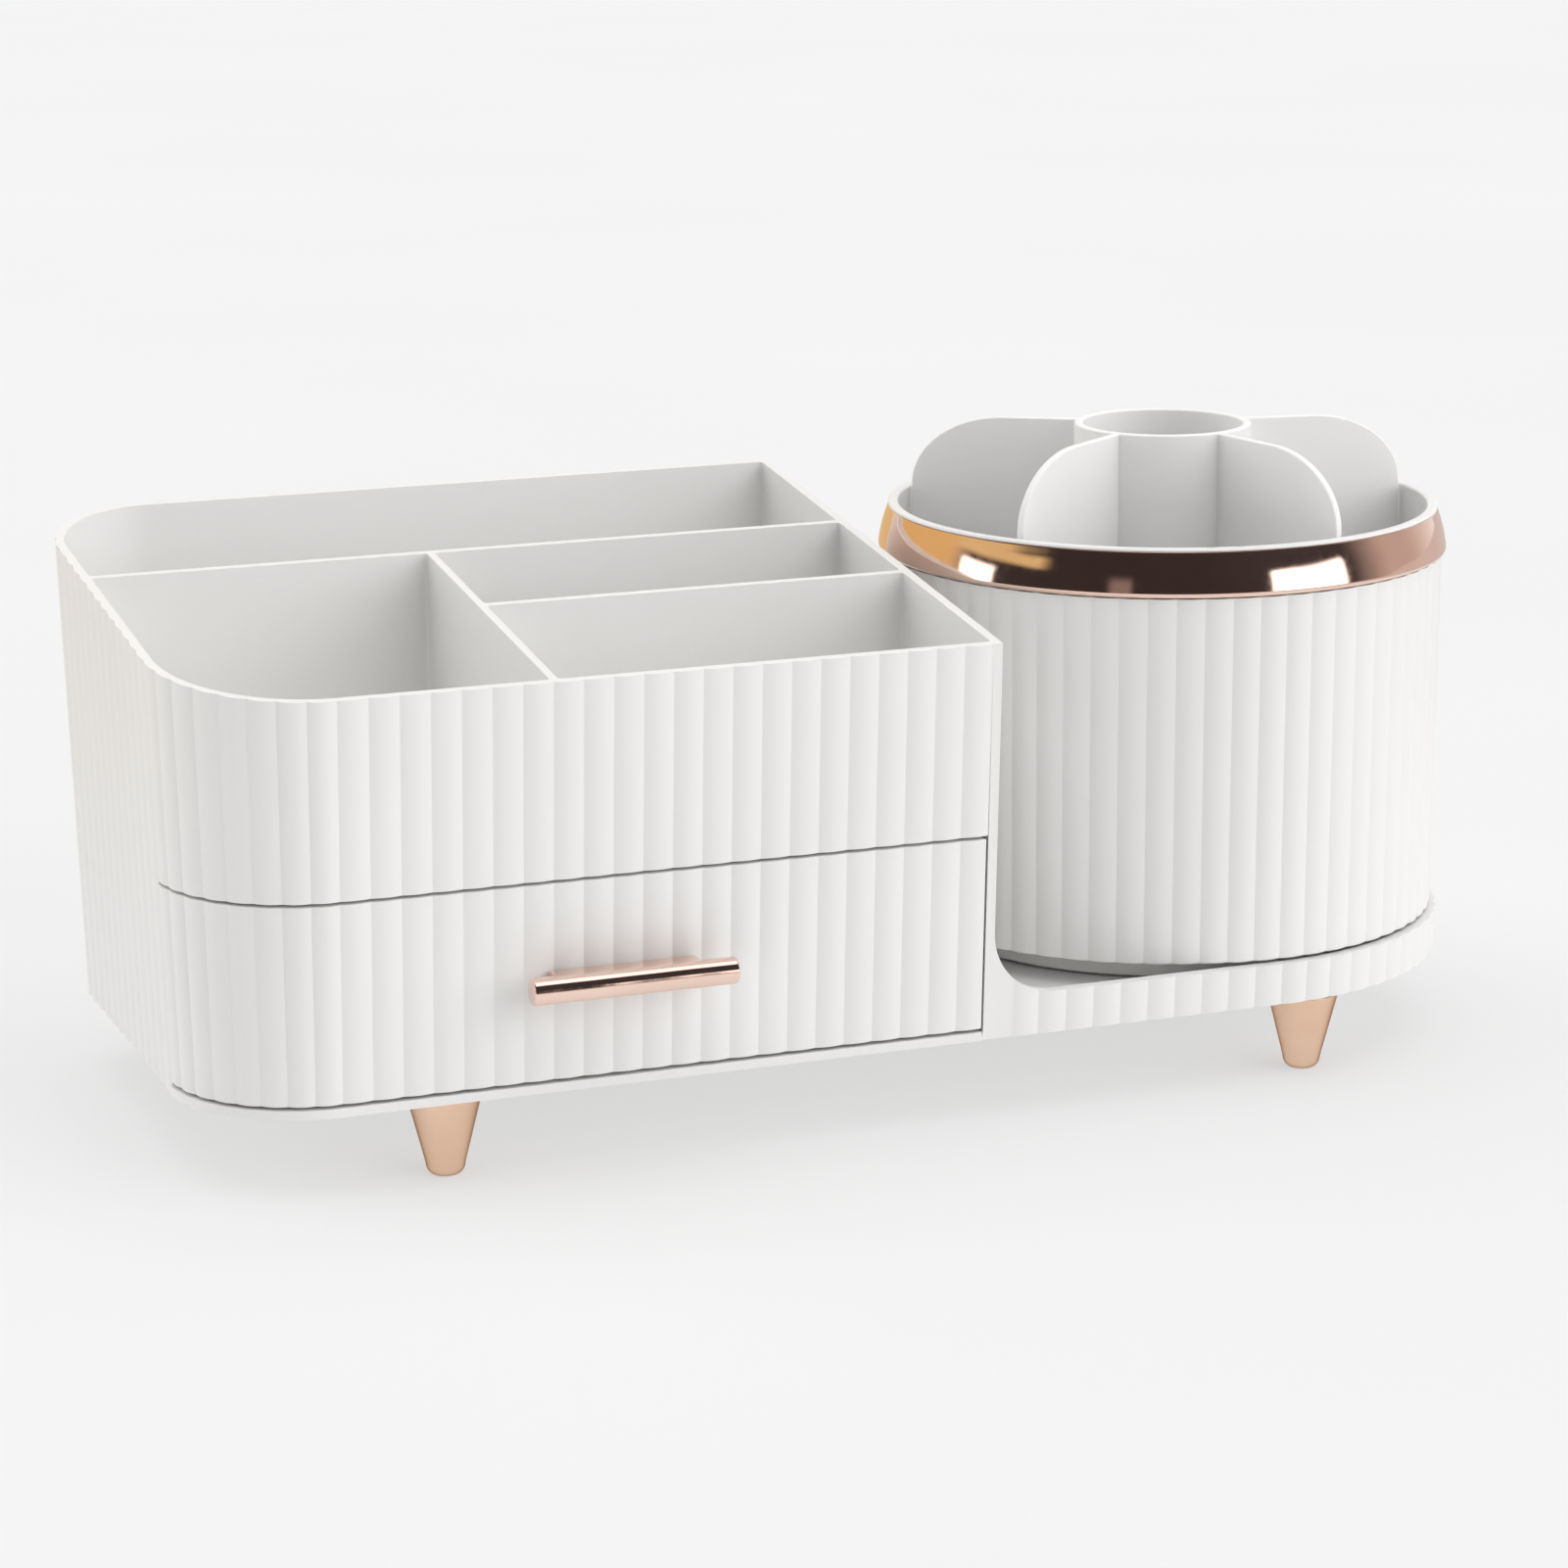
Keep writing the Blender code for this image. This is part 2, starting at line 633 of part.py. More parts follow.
def drawer_panel(bm):
    """The fluted front, which wraps round the left corner as far as the side wall."""
    right = DRAWER_EDGE - JOINT_GAP
    rear = CORNER_Y - JOINT_GAP
    path = front_panel()
    rings = []
    for height, inset in (
        (DRAWER_BOTTOM, None),
        (DRAWER_TOP, None),
        (DRAWER_TOP, PANEL),
        (DRAWER_BOTTOM, PANEL),
    ):
        points = level(path, height, inset)
        for point in points:
            point.x = min(point.x, right)
            point.y = min(point.y, rear)
        rings.append([bm.verts.new(point) for point in points])
    for lower, upper in zip(rings, rings[1:] + rings[:1]):
        for i in range(len(lower) - 1):
            bm.faces.new((lower[i], lower[i + 1], upper[i + 1], upper[i]))
    bm.faces.new([ring[0] for ring in rings])
    bm.faces.new([ring[-1] for ring in reversed(rings)])


def make_drawer(white, frame):
    bm = bmesh.new()
    high = DRAWER_TOP - DRAWER_SIDE_DROP
    outer, inner = drawer_box_outline(0.0), drawer_box_outline(DRAWER_WALL)
    vessel(
        bm,
        level(outer, BOX_BOTTOM),
        level(outer, high),
        level(inner, high),
        level(inner, BOX_BOTTOM + DRAWER_WALL),
    )
    drawer = to_object("drawer", bm, white, frame)

    bm = bmesh.new()
    drawer_panel(bm)
    boolean(drawer, helper("drawer_front", bm, white, frame), "UNION")

    bm = bmesh.new()
    near = CORNER_Y - RUNNER_SETBACK
    far = BAY_REAR - RUNNER_SETBACK
    for x in (BAY_LEFT + RUNNER_INSET, DRAWER_EDGE - RUNNER_INSET):
        low, high = x - RUNNER_WIDTH / 2.0, x + RUNNER_WIDTH / 2.0
        foot = [(low, near), (high, near), (high, far), (low, far)]
        upright(bm, foot, BAY_FLOOR + JOINT_GAP, BOX_BOTTOM + OVERLAP)
    boolean(drawer, helper("drawer_runners", bm, white, frame), "UNION")

    bm = bmesh.new()
    for side in (-POST_SPREAD, POST_SPREAD):
        upright(bm, circle(SCREW_HOLE, SMALL_FACETS), -OVERRUN, OVERRUN)
        newest = bm.verts[-2 * SMALL_FACETS :]
        bmesh.ops.rotate(bm, verts=newest, cent=(0.0, 0.0, 0.0), matrix=Matrix.Rotation(math.pi / 2.0, 3, "X"))
        bmesh.ops.translate(bm, verts=newest, vec=(HANDLE_X + side, HANDLE_FACE_Y, HANDLE_HEIGHT))
    boolean(drawer, helper("handle_holes", bm, white, frame), "DIFFERENCE")


def lying(bm, axis):
    """Turns what was built along Z to lie along X or Y, its start at the low end."""
    turn = Matrix.Rotation(math.pi / 2.0, 3, "Y") if axis == "X" else Matrix.Rotation(-math.pi / 2.0, 3, "X")
    bmesh.ops.rotate(bm, verts=bm.verts[:], cent=(0.0, 0.0, 0.0), matrix=turn)


def make_handle(gold, frame):
    half = HANDLE_LENGTH / 2.0
    bm = bmesh.new()
    profile = [
        (0.0, half),
        (HANDLE_RADIUS - EDGE_ROUND, half),
        (HANDLE_RADIUS, half - EDGE_ROUND),
        (HANDLE_RADIUS, EDGE_ROUND - half),
        (HANDLE_RADIUS - EDGE_ROUND, -half),
        (0.0, -half),
    ]
    turned(bm, profile, SMALL_FACETS * 2)
    lying(bm, "X")
    bar = to_object("handle_bar", bm, gold, frame)
    bar.location = (HANDLE_X, HANDLE_Y, HANDLE_HEIGHT)

    bm = bmesh.new()
    upright(bm, circle(HANDLE_RADIUS + JOINT_GAP, SMALL_FACETS * 2), -half - OVERRUN, half + OVERRUN)
    lying(bm, "X")
    saddle = helper("post_saddle", bm, gold, frame)
    saddle.location = bar.location

    for side, shift in (("left", -POST_SPREAD), ("right", POST_SPREAD)):
        bm = bmesh.new()
        length = HANDLE_REACH - JOINT_GAP - HANDLE_RADIUS / 2.0
        bore = length - HANDLE_RADIUS
        turned(
            bm,
            [
                (0.0, -length),
                (POST_RADIUS, -length),
                (POST_RADIUS, 0.0),
                (PILOT_HOLE, 0.0),
                (PILOT_HOLE, -bore),
                (0.0, -bore),
            ],
            SMALL_FACETS,
        )
        lying(bm, "Y")
        post = to_object(f"handle_post_{side}", bm, gold, frame)
        post.location = (HANDLE_X + shift, HANDLE_FACE_Y - JOINT_GAP, HANDLE_HEIGHT)
        boolean(post, saddle, "DIFFERENCE")


def screw_mesh(bm, reach):
    """A pan head screw, point down, with the underside of its head at height zero."""
    dome = SCREW_HEAD / 3.0
    turned(
        bm,
        [
            (0.0, SCREW_HEAD),
            (SCREW_HEAD_RADIUS - 2.0 * dome, SCREW_HEAD),
            (SCREW_HEAD_RADIUS, SCREW_HEAD - 2.0 * dome),
            (SCREW_HEAD_RADIUS, 0.0),
            (SCREW_RADIUS, 0.0),
            (SCREW_RADIUS, SCREW_RADIUS - reach),
            (0.0, -reach),
        ],
        SMALL_FACETS,
    )


def make_screws(steel, frame, cup_axis):
    seats = {
        "front_left": BAY_FLOOR + JOINT_GAP,
        "rear_left": BAY_FLOOR + JOINT_GAP,
        "front_right": PLATFORM_TOP - SCREW_HEAD,
        "rear_right": PLATFORM_TOP - SCREW_HEAD,
    }
    for name, (x, y) in foot_places().items():
        bm = bmesh.new()
        screw_mesh(bm, seats[name] + SCREW_REACH)
        screw = to_object(f"foot_screw_{name}", bm, steel, frame)
        screw.location = (x, y, seats[name])

    inner_face = HANDLE_FACE_Y + PANEL - FLUTE_DEPTH - OVERLAP + DRAWER_WALL
    for side, shift in (("left", -POST_SPREAD), ("right", POST_SPREAD)):
        bm = bmesh.new()
        screw_mesh(bm, SCREW_REACH)
        lying(bm, "Y")
        screw = to_object(f"handle_screw_{side}", bm, steel, frame)
        screw.location = (HANDLE_X + shift, inner_face + 2.0 * JOINT_GAP, HANDLE_HEIGHT)

    for i in range(CUP_SCREW_COUNT):
        angle = CUP_SCREW_PHASE + math.tau * i / CUP_SCREW_COUNT
        bm = bmesh.new()
        screw_mesh(bm, CUP_FLOOR_TOP + JOINT_GAP - DISC_BOTTOM - SCREW_PLAY - 2.0 * JOINT_GAP)
        screw = to_object(f"cup_screw_{i + 1}", bm, steel, cup_axis)
        place = Vector((math.cos(angle), math.sin(angle), 0.0)) * CUP_SCREW_CIRCLE
        screw.location = place + Vector((0.0, 0.0, CUP_FLOOR_TOP + JOINT_GAP))


def make_feet(peach, frame):
    top = -JOINT_GAP
    tip = top - FOOT_HEIGHT
    for name, (x, y) in foot_places().items():
        bm = bmesh.new()
        profile = [(0.0, top - FOOT_BORE_DEPTH), (PILOT_HOLE, top - FOOT_BORE_DEPTH), (PILOT_HOLE, top)]
        profile += [(FOOT_TOP_RADIUS - EDGE_ROUND, top), (FOOT_TOP_RADIUS, top - EDGE_ROUND)]
        for i in range(TIP_FACETS + 1):
            angle = math.pi / 2.0 * i / TIP_FACETS
            radius = FOOT_TIP_RADIUS + (FOOT_NECK_RADIUS - FOOT_TIP_RADIUS) * math.cos(angle)
            profile.append((radius, tip + FOOT_TIP_ROUND * (1.0 - math.sin(angle))))
        profile.append((0.0, tip))
        turned(bm, profile, SMALL_FACETS * 2)
        foot = to_object(f"foot_{name}", bm, peach, frame)
        foot.location = (x, y, 0.0)


def cup_ring_points(radius, height):
    points = []
    for flute in range(CUP_FLUTES):
        for share, depth in ((0.0, FLUTE_DEPTH), (SHOULDER_SHARE, 0.0), (1.0 - SHOULDER_SHARE, 0.0)):
            angle = math.tau * (flute + share) / CUP_FLUTES
            reach = radius - depth
            points.append(Vector((reach * math.cos(angle), reach * math.sin(angle), height)))
    return points


def cup_screw_places():
    turns = [CUP_SCREW_PHASE + math.tau * i / CUP_SCREW_COUNT for i in range(CUP_SCREW_COUNT)]
    return [(CUP_SCREW_CIRCLE * math.cos(t), CUP_SCREW_CIRCLE * math.sin(t)) for t in turns]


def make_cup(white, gold, cup_axis):
    shoulder = RING_BOTTOM - JOINT_GAP
    neck = CUP_BORE + CUP_NECK_WALL
    bm = bmesh.new()
    prism(bm, cup_ring_points(CUP_BOTTOM_RADIUS, CUP_BOTTOM), cup_ring_points(CUP_TOP_RADIUS, shoulder))
    cup = to_object("cup_shell", bm, white, cup_axis)

    bm = bmesh.new()
    upright(bm, circle(neck, WIDE_FACETS), shoulder - OVERLAP, RING_TOP - JOINT_GAP)
    boolean(cup, helper("cup_neck", bm, white, cup_axis), "UNION")

    bm = bmesh.new()
    upright(bm, circle(CUP_BORE, WIDE_FACETS), CUP_FLOOR_TOP, RING_TOP + OVERRUN)
    boolean(cup, helper("cup_bore", bm, white, cup_axis), "DIFFERENCE")

    bm = bmesh.new()
    pocket = CUP_BOTTOM + CUP_FLOOR / 2.0
    upright(bm, circle(SCREW_HEAD_RADIUS + 2.0 * SCREW_PLAY, SMALL_FACETS), CUP_BOTTOM - OVERRUN, pocket)
    for place in cup_screw_places():
        upright(bm, circle(SCREW_HOLE, SMALL_FACETS, place), CUP_BOTTOM - OVERRUN, CUP_FLOOR_TOP + OVERRUN)
    boolean(cup, helper("cup_holes", bm, white, cup_axis), "DIFFERENCE")

    inner = neck + JOINT_GAP
    bm = bmesh.new()
    turned(
        bm,
        [
            (inner, RING_TOP),
            (RING_TOP_RADIUS - EDGE_ROUND / 2.0, RING_TOP),
            (RING_TOP_RADIUS, RING_TOP - EDGE_ROUND / 2.0),
            (RING_RADIUS, RING_BOTTOM + 3.0 * EDGE_ROUND),
            (RING_RADIUS - EDGE_ROUND / 5.0, RING_BOTTOM + EDGE_ROUND),
            (RING_RADIUS - EDGE_ROUND, RING_BOTTOM),
            (inner, RING_BOTTOM),
        ],
        WIDE_FACETS,
    )
    to_object("cup_ring", bm, gold, cup_axis)


def make_insert(white, cup_axis):
    foot = CUP_FLOOR_TOP + JOINT_GAP
    bm = bmesh.new()
    bore = TUBE_RADIUS - TUBE_WALL
    turned(
        bm,
        [(bore, TUBE_TOP), (TUBE_RADIUS, TUBE_TOP), (TUBE_RADIUS, foot), (bore, foot)],
        MID_FACETS,
    )
    insert = to_object("divider_insert", bm, white, cup_axis)

    reach = CUP_BORE - FIN_CLEARANCE
    root = TUBE_RADIUS - TUBE_WALL / 2.0
    low, high = foot + STEP, TUBE_TOP - STEP
    profile = [(root, low), (reach, low)]
    for i in range(CORNER_FACETS + 1):
        angle = math.pi / 2.0 * i / CORNER_FACETS
        x = FIN_FLAT + (reach - FIN_FLAT) * math.cos(angle)
        profile.append((x, high - FIN_DROP + FIN_DROP * math.sin(angle)))
    profile.append((root, high))
    half = FIN_THICKNESS / 2.0
    for i in range(FIN_COUNT):
        bm = bmesh.new()
        prism(
            bm,
            [Vector((x, half, z)) for x, z in profile],
            [Vector((x, -half, z)) for x, z in profile],
        )
        turn = Matrix.Rotation(FIN_PHASE + math.tau * i / FIN_COUNT, 3, "Z")
        bmesh.ops.rotate(bm, verts=bm.verts[:], cent=(0.0, 0.0, 0.0), matrix=turn)
        boolean(insert, helper(f"fin_{i + 1}", bm, white, cup_axis), "UNION")


def make_turntable(white, grey, steel, frame, cup_axis, cage_axis):
    low_race, high_race = RACE_RADIUS - RACE_HALF_WIDTH, RACE_RADIUS + RACE_HALF_WIDTH
    edge = EDGE_ROUND
    bm = bmesh.new()
    turned(
        bm,
        [
            (HUB_RECESS, DISC_TOP),
            (DISC_RADIUS - edge, DISC_TOP),
            (DISC_RADIUS, DISC_TOP - edge),
            (DISC_RADIUS, DISC_BOTTOM + edge),
            (DISC_RADIUS - edge, DISC_BOTTOM),
            (high_race, DISC_BOTTOM),
            (high_race, RACE_TOP),
            (low_race, RACE_TOP),
            (low_race, DISC_BOTTOM),
            (HUB_RADIUS, DISC_BOTTOM),
            (HUB_RADIUS, DISC_BOTTOM + HUB_WEB),
            (HUB_RECESS, DISC_BOTTOM + HUB_WEB),
        ],
        MID_FACETS,
    )
    disc = to_object("turntable_disc", bm, white, cup_axis)
    bm = bmesh.new()
    for place in cup_screw_places():
        upright(bm, circle(PILOT_HOLE, SMALL_FACETS, place), DISC_BOTTOM + SCREW_PLAY, DISC_TOP + OVERRUN)
    boolean(disc, helper("disc_pilots", bm, white, cup_axis), "DIFFERENCE")

    middle = PLATFORM_TOP + BALL_PLAY + BALL_RADIUS
    bm = bmesh.new()
    inner, outer = low_race + CAGE_SIDE_PLAY, high_race - CAGE_SIDE_PLAY
    turned(
        bm,
        [
            (inner, middle + CAGE_HEIGHT / 2.0),
            (outer, middle + CAGE_HEIGHT / 2.0),
            (outer, middle - CAGE_HEIGHT / 2.0),
            (inner, middle - CAGE_HEIGHT / 2.0),
        ],
        BALL_COUNT * 3,
    )
    cage = to_object("ball_cage", bm, grey, cage_axis)
    places = circle(RACE_RADIUS, BALL_COUNT)
    bm = bmesh.new()
    for place in places:
        pocket = circle(BALL_RADIUS + POCKET_PLAY, SMALL_FACETS, place)
        upright(bm, pocket, middle - OVERRUN, middle + OVERRUN)
    boolean(cage, helper("ball_pockets", bm, grey, cage_axis), "DIFFERENCE")
    for i, (x, y) in enumerate(places):
        bm = bmesh.new()
        bmesh.ops.create_icosphere(bm, subdivisions=1, radius=BALL_RADIUS)
        ball = to_object(f"ball_{i + 1}", bm, steel, cage_axis)
        ball.location = (x, y, middle)

    washer_bottom = DISC_BOTTOM + HUB_WEB + POST_TOP_PLAY + JOINT_GAP
    bm = bmesh.new()
    washer_top = washer_bottom + WASHER_HEIGHT
    turned(
        bm,
        [
            (PILOT_HOLE, washer_top),
            (WASHER_RADIUS, washer_top),
            (WASHER_RADIUS, washer_bottom),
            (PILOT_HOLE, washer_bottom),
        ],
        SMALL_FACETS * 2,
    )
    to_object("pivot_washer", bm, steel, frame)
    bm = bmesh.new()
    seat = washer_top + JOINT_GAP
    screw_mesh(bm, seat - BAY_FLOOR - JOINT_GAP)
    screw = to_object("pivot_screw", bm, steel, frame)
    screw.location = (0.0, 0.0, seat)


def main():
    clear_scene()
    white = material("white_plastic", (0.86, 0.85, 0.83), 0.42, 0.0)
    gold = material("rose_gold_plating", (0.87, 0.56, 0.43), 0.12, 1.0)
    peach = material("satin_rose_gold", (0.93, 0.70, 0.52), 0.38, 0.9)
    steel = material("zinc_steel", (0.62, 0.63, 0.65), 0.30, 1.0)
    grey = material("natural_nylon", (0.78, 0.77, 0.73), 0.55, 0.0)
    frame = empty("body_frame", (FRAME_X, FRAME_Y, FRAME_Z))
    cup_axis = empty("cup_axis", (0.0, 0.0, 0.0), frame)
    cage_axis = empty("cage_axis", (0.0, 0.0, 0.0), frame)
    make_tray(white, frame)
    make_base(white, frame)
    make_drawer(white, frame)
    make_handle(gold, frame)
    make_screws(steel, frame, cup_axis)
    make_feet(peach, frame)
    make_cup(white, gold, cup_axis)
    make_insert(white, cup_axis)
    make_turntable(white, grey, steel, frame, cup_axis, cage_axis)


main()
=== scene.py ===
"""Looks of the rotating makeup organizer: a fluted caddy with a drawer, and a turning brush cup.

Each piece is modelled round the cup's axis, with the base's underside at height zero, in
millimetres times MM. Its last step, stand(), carries it to its place in the frame.
"""

import math

import bmesh
import bpy
from mathutils import Euler, Matrix, Vector


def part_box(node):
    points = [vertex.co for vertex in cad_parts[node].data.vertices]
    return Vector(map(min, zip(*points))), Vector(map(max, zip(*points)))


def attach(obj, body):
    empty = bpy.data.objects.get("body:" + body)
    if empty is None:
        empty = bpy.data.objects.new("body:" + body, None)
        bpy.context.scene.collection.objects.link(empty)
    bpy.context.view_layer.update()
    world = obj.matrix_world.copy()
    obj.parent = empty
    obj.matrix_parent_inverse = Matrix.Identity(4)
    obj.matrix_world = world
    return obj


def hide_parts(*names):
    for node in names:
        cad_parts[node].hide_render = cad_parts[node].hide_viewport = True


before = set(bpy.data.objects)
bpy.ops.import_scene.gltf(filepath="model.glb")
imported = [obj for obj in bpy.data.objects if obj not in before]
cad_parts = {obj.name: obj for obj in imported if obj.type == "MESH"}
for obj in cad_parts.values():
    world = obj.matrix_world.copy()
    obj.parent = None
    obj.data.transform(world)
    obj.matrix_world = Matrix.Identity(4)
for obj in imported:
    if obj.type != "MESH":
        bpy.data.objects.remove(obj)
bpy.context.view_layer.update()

MM = 0.001
NEAR = 0.02 * MM
TURN = math.tau
QUARTER = math.pi / 2.0

# Where the cup's axis meets the base's underside, as the CAD nodes stand
ring_low, ring_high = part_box("cup_ring")
base_low, base_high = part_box("base_shell")
ORIGIN = Vector(((ring_low.x + ring_high.x) / 2.0, (ring_low.y + ring_high.y) / 2.0, base_low.z))

# Caddy
DEPTH = 66.6 * MM
CADDY_RIGHT = -72.0 * MM
DRAWER_EDGE = -74.2 * MM
STRIP_EDGE = -67.6 * MM
FRONT_RIM = 91.0 * MM
FRONT_RIM_Y = -71.605 * MM
RIM_RISE = 0.127
FACE_LEAN = 0.055
SIDE_LEAN = 0.028
CADDY_LEFT = -254.0 * MM + SIDE_LEAN * FRONT_RIM
FRONT_CORNER = 30.0 * MM
REAR_CORNER = 24.0 * MM
WALL = 2.2 * MM
SEAM = 47.6 * MM
BAY_FLOOR = 2.0 * MM
TRAY_FLOOR = SEAM + WALL
TALL = 125.0 * MM

# Dividers of the tray, by their middle planes
DIVIDER_HALF = 0.9 * MM
BACK_DIVIDER_Y = 20.4 * MM
MIDDLE_DIVIDER_Y = -18.7 * MM
LONG_DIVIDER_X = -174.0 * MM

# Drawer
DRAWER_TOP = 46.85 * MM
DRAWER_BOTTOM = 2.65 * MM
DRAWER_SIDE_GAP = 0.4 * MM
DRAWER_END_GAP = 0.3 * MM
PANEL = 2.4 * MM
DRAWER_WALL = 1.8 * MM
RUNNER_BOTTOM = 2.3 * MM

# Flutes
FLUTE_DEPTH = 0.5 * MM
FLUTE_FACETS = 8
FLUTES = {
    "rear": 23,
    "rear_corner": 7,
    "left": 12,
    "front_corner": 8,
    "front": 22,
    "base": 10,
    "end": 16,
}

# Platform and cup
RIM = 9.7 * MM
RIM_BORE = 64.2 * MM
PLATFORM = 4.4 * MM
UNDERSIDE = 2.2 * MM
CUP_BOTTOM = 10.4 * MM
CUP_BOTTOM_RADIUS = 65.35 * MM
CUP_TOP_RADIUS = 66.0 * MM
SHOULDER = 95.1 * MM
CUP_BORE = 62.2 * MM
NECK = 63.5 * MM
RING_BOTTOM = 95.4 * MM
RING_TOP = 105.6 * MM
LIP_TOP = 106.3 * MM
LIP = 64.6 * MM
TUBE = 20.8 * MM
TUBE_TOP = 124.7 * MM
FIN_ANGLES = (-147.0, -75.0, -3.0, 69.0, 141.0)
LOW_FIN = 3
CUP_SCREWS = tuple(math.radians(9.0 + 120.0 * i) for i in range(3))
CUP_SCREW_CIRCLE = 27.0 * MM
BALLS = 12
BALL_CIRCLE = 42.5 * MM
SCREW_HOLE = 1.7 * MM
PILOT_HOLE = 1.5 * MM

HANDLE = Vector((-159.7, -77.024, 25.9)) * MM
HANDLE_FACE = -68.025 * MM
HANDLE_SCREWS = {"left": -14.0 * MM, "right": 14.0 * MM}
FEET = {
    "front_left": (-196.4 * MM, -56.5 * MM),
    "rear_left": (-196.4 * MM, 56.5 * MM),
    "front_right": (10.6 * MM, -56.5 * MM),
    "rear_right": (10.6 * MM, 56.5 * MM),
}


# Working in edit mode


def rest():
    if bpy.context.mode != "OBJECT":
        bpy.ops.object.mode_set(mode="OBJECT")
    bpy.ops.object.select_all(action="DESELECT")


def take(obj):
    rest()
    obj.select_set(True)
    bpy.context.view_layer.objects.active = obj


def shape(obj):
    take(obj)
    bpy.ops.object.mode_set(mode="EDIT")
    bpy.ops.mesh.select_mode(type="VERT")


def choose(test):
    """Selects the points whose place passes the test, and the edges and faces between them."""
    mesh = bpy.context.edit_object.data
    bm = bmesh.from_edit_mesh(mesh)
    for part in (bm.faces, bm.edges):
        for item in part:
            item.select = False
    for vert in bm.verts:
        vert.select = bool(test(vert.co))
    bm.select_flush(True)
    bmesh.update_edit_mesh(mesh)


def everything():
    bpy.ops.mesh.select_all(action="SELECT")


def move(x=0.0, y=0.0, z=0.0):
    bpy.ops.transform.translate(value=(x, y, z))


def stretch(x, y, z, centre=(0.0, 0.0, 0.0)):
    bpy.ops.transform.resize(value=(x, y, z), center_override=centre)


def extrude(x=0.0, y=0.0, z=0.0):
    bpy.ops.mesh.extrude_region_move(TRANSFORM_OT_translate={"value": (x, y, z)})


def soften(width, segments=3):
    """Bevels the selected edges."""
    bpy.ops.mesh.bevel(
        offset=width, segments=segments, affect="EDGES", profile=0.5, clamp_overlap=True
    )


def round_points(radius, segments):
    """Rounds the selected corners of a flat outline."""
    bpy.ops.mesh.bevel(
        offset=radius, segments=segments, affect="VERTICES", profile=0.5, clamp_overlap=False
    )


def slice_off(height_point, direction):
    """Cuts away all that lies past the plane, and closes the cut."""
    everything()
    bpy.ops.mesh.bisect(plane_co=height_point, plane_no=direction, use_fill=True, clear_outer=True)


def tidy():
    everything()
    bpy.ops.mesh.remove_doubles(threshold=0.002 * MM)
    bpy.ops.mesh.normals_make_consistent(inside=False)


def boolean(obj, other, operation):
    """Cuts or joins the other piece, which is used up."""
    take(obj)
    cut = obj.modifiers.new("cut", "BOOLEAN")
    cut.operation = operation
    cut.solver = "EXACT"
    cut.object = other
    bpy.ops.object.modifier_apply(modifier=cut.name)
    bpy.data.objects.remove(other, do_unlink=True)


def modifier(obj, kind, **settings):
    take(obj)
    made = obj.modifiers.new(kind.lower(), kind)
    for name, value in settings.items():
        setattr(made, name, value)
    bpy.ops.object.modifier_apply(modifier=made.name)


def ease(obj, width, segments=6, degrees=58.0):
    """Rounds every edge that is sharper than this angle."""
    modifier(
        obj,
        "BEVEL",
        width=width,
        segments=segments,
        limit_method="ANGLE",
        angle_limit=math.radians(degrees),
        use_clamp_overlap=True,
    )


def smooth(obj, degrees=16.0):
    """Smooths the shading up to this angle, and lets the large faces keep theirs."""
    take(obj)
    bpy.ops.object.shade_smooth_by_angle(angle=math.radians(degrees))
    modifier(obj, "WEIGHTED_NORMAL", mode="FACE_AREA", weight=50, keep_sharp=True)


def place(obj, offset, turn=(0.0, 0.0, 0.0)):
    take(obj)
    obj.location = offset
    obj.rotation_euler = Euler(turn)
    bpy.ops.object.transform_apply(location=True, rotation=True, scale=True)


def copy_of(obj, name, offset=(0.0, 0.0, 0.0), turn=(0.0, 0.0, 0.0)):
    rest()
    made = obj.copy()
    made.data = obj.data.copy()
    made.name = name
    bpy.context.scene.collection.objects.link(made)
    place(made, offset, turn)
    return made


def stand(obj, body, finish, slot, *nodes):
    """Carries the finished piece to its place in the frame, and lets it ride on its body."""
    place(obj, ORIGIN)
    obj.data.materials.clear()
    obj.data.materials.append(finish)
    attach(obj, body)
    if nodes:
        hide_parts(*nodes)
    rest()
    return obj


# Starting shapes


def plate(name):
    rest()
    bpy.ops.mesh.primitive_plane_add(size=1.0, location=(0.0, 0.0, 0.0))
    obj = bpy.context.active_object
    obj.name = name
    shape(obj)
    return obj


def block(name, low, high):
    rest()
    bpy.ops.mesh.primitive_cube_add(size=1.0, location=(0.0, 0.0, 0.0))
    obj = bpy.context.active_object
    obj.name = name
    shape(obj)
    everything()
    stretch(high[0] - low[0], high[1] - low[1], high[2] - low[2])
    move(*((a + b) / 2.0 for a, b in zip(low, high)))
    return obj


def rod(name, radius, low, high, facets=32, at=(0.0, 0.0)):
    rest()
    middle = (low + high) / 2.0
    bpy.ops.mesh.primitive_cylinder_add(
        vertices=facets, radius=radius, depth=high - low, location=(at[0], at[1], middle)
    )
    obj = bpy.context.active_object
    obj.name = name
    bpy.ops.object.transform_apply(location=True, rotation=True, scale=True)
    return obj


def on_circle(radius, angle):
    """A place round the cup's axis."""
    return (radius * math.cos(angle), radius * math.sin(angle))


def arc(centre, radius, first, last, steps):
    """Points of a profile round part of a circle, angles in degrees."""
    points = []
    for i in range(steps + 1):
        angle = math.radians(first + (last - first) * i / steps)
        points.append((centre[0] + radius * math.cos(angle), centre[1] + radius * math.sin(angle)))
    return points


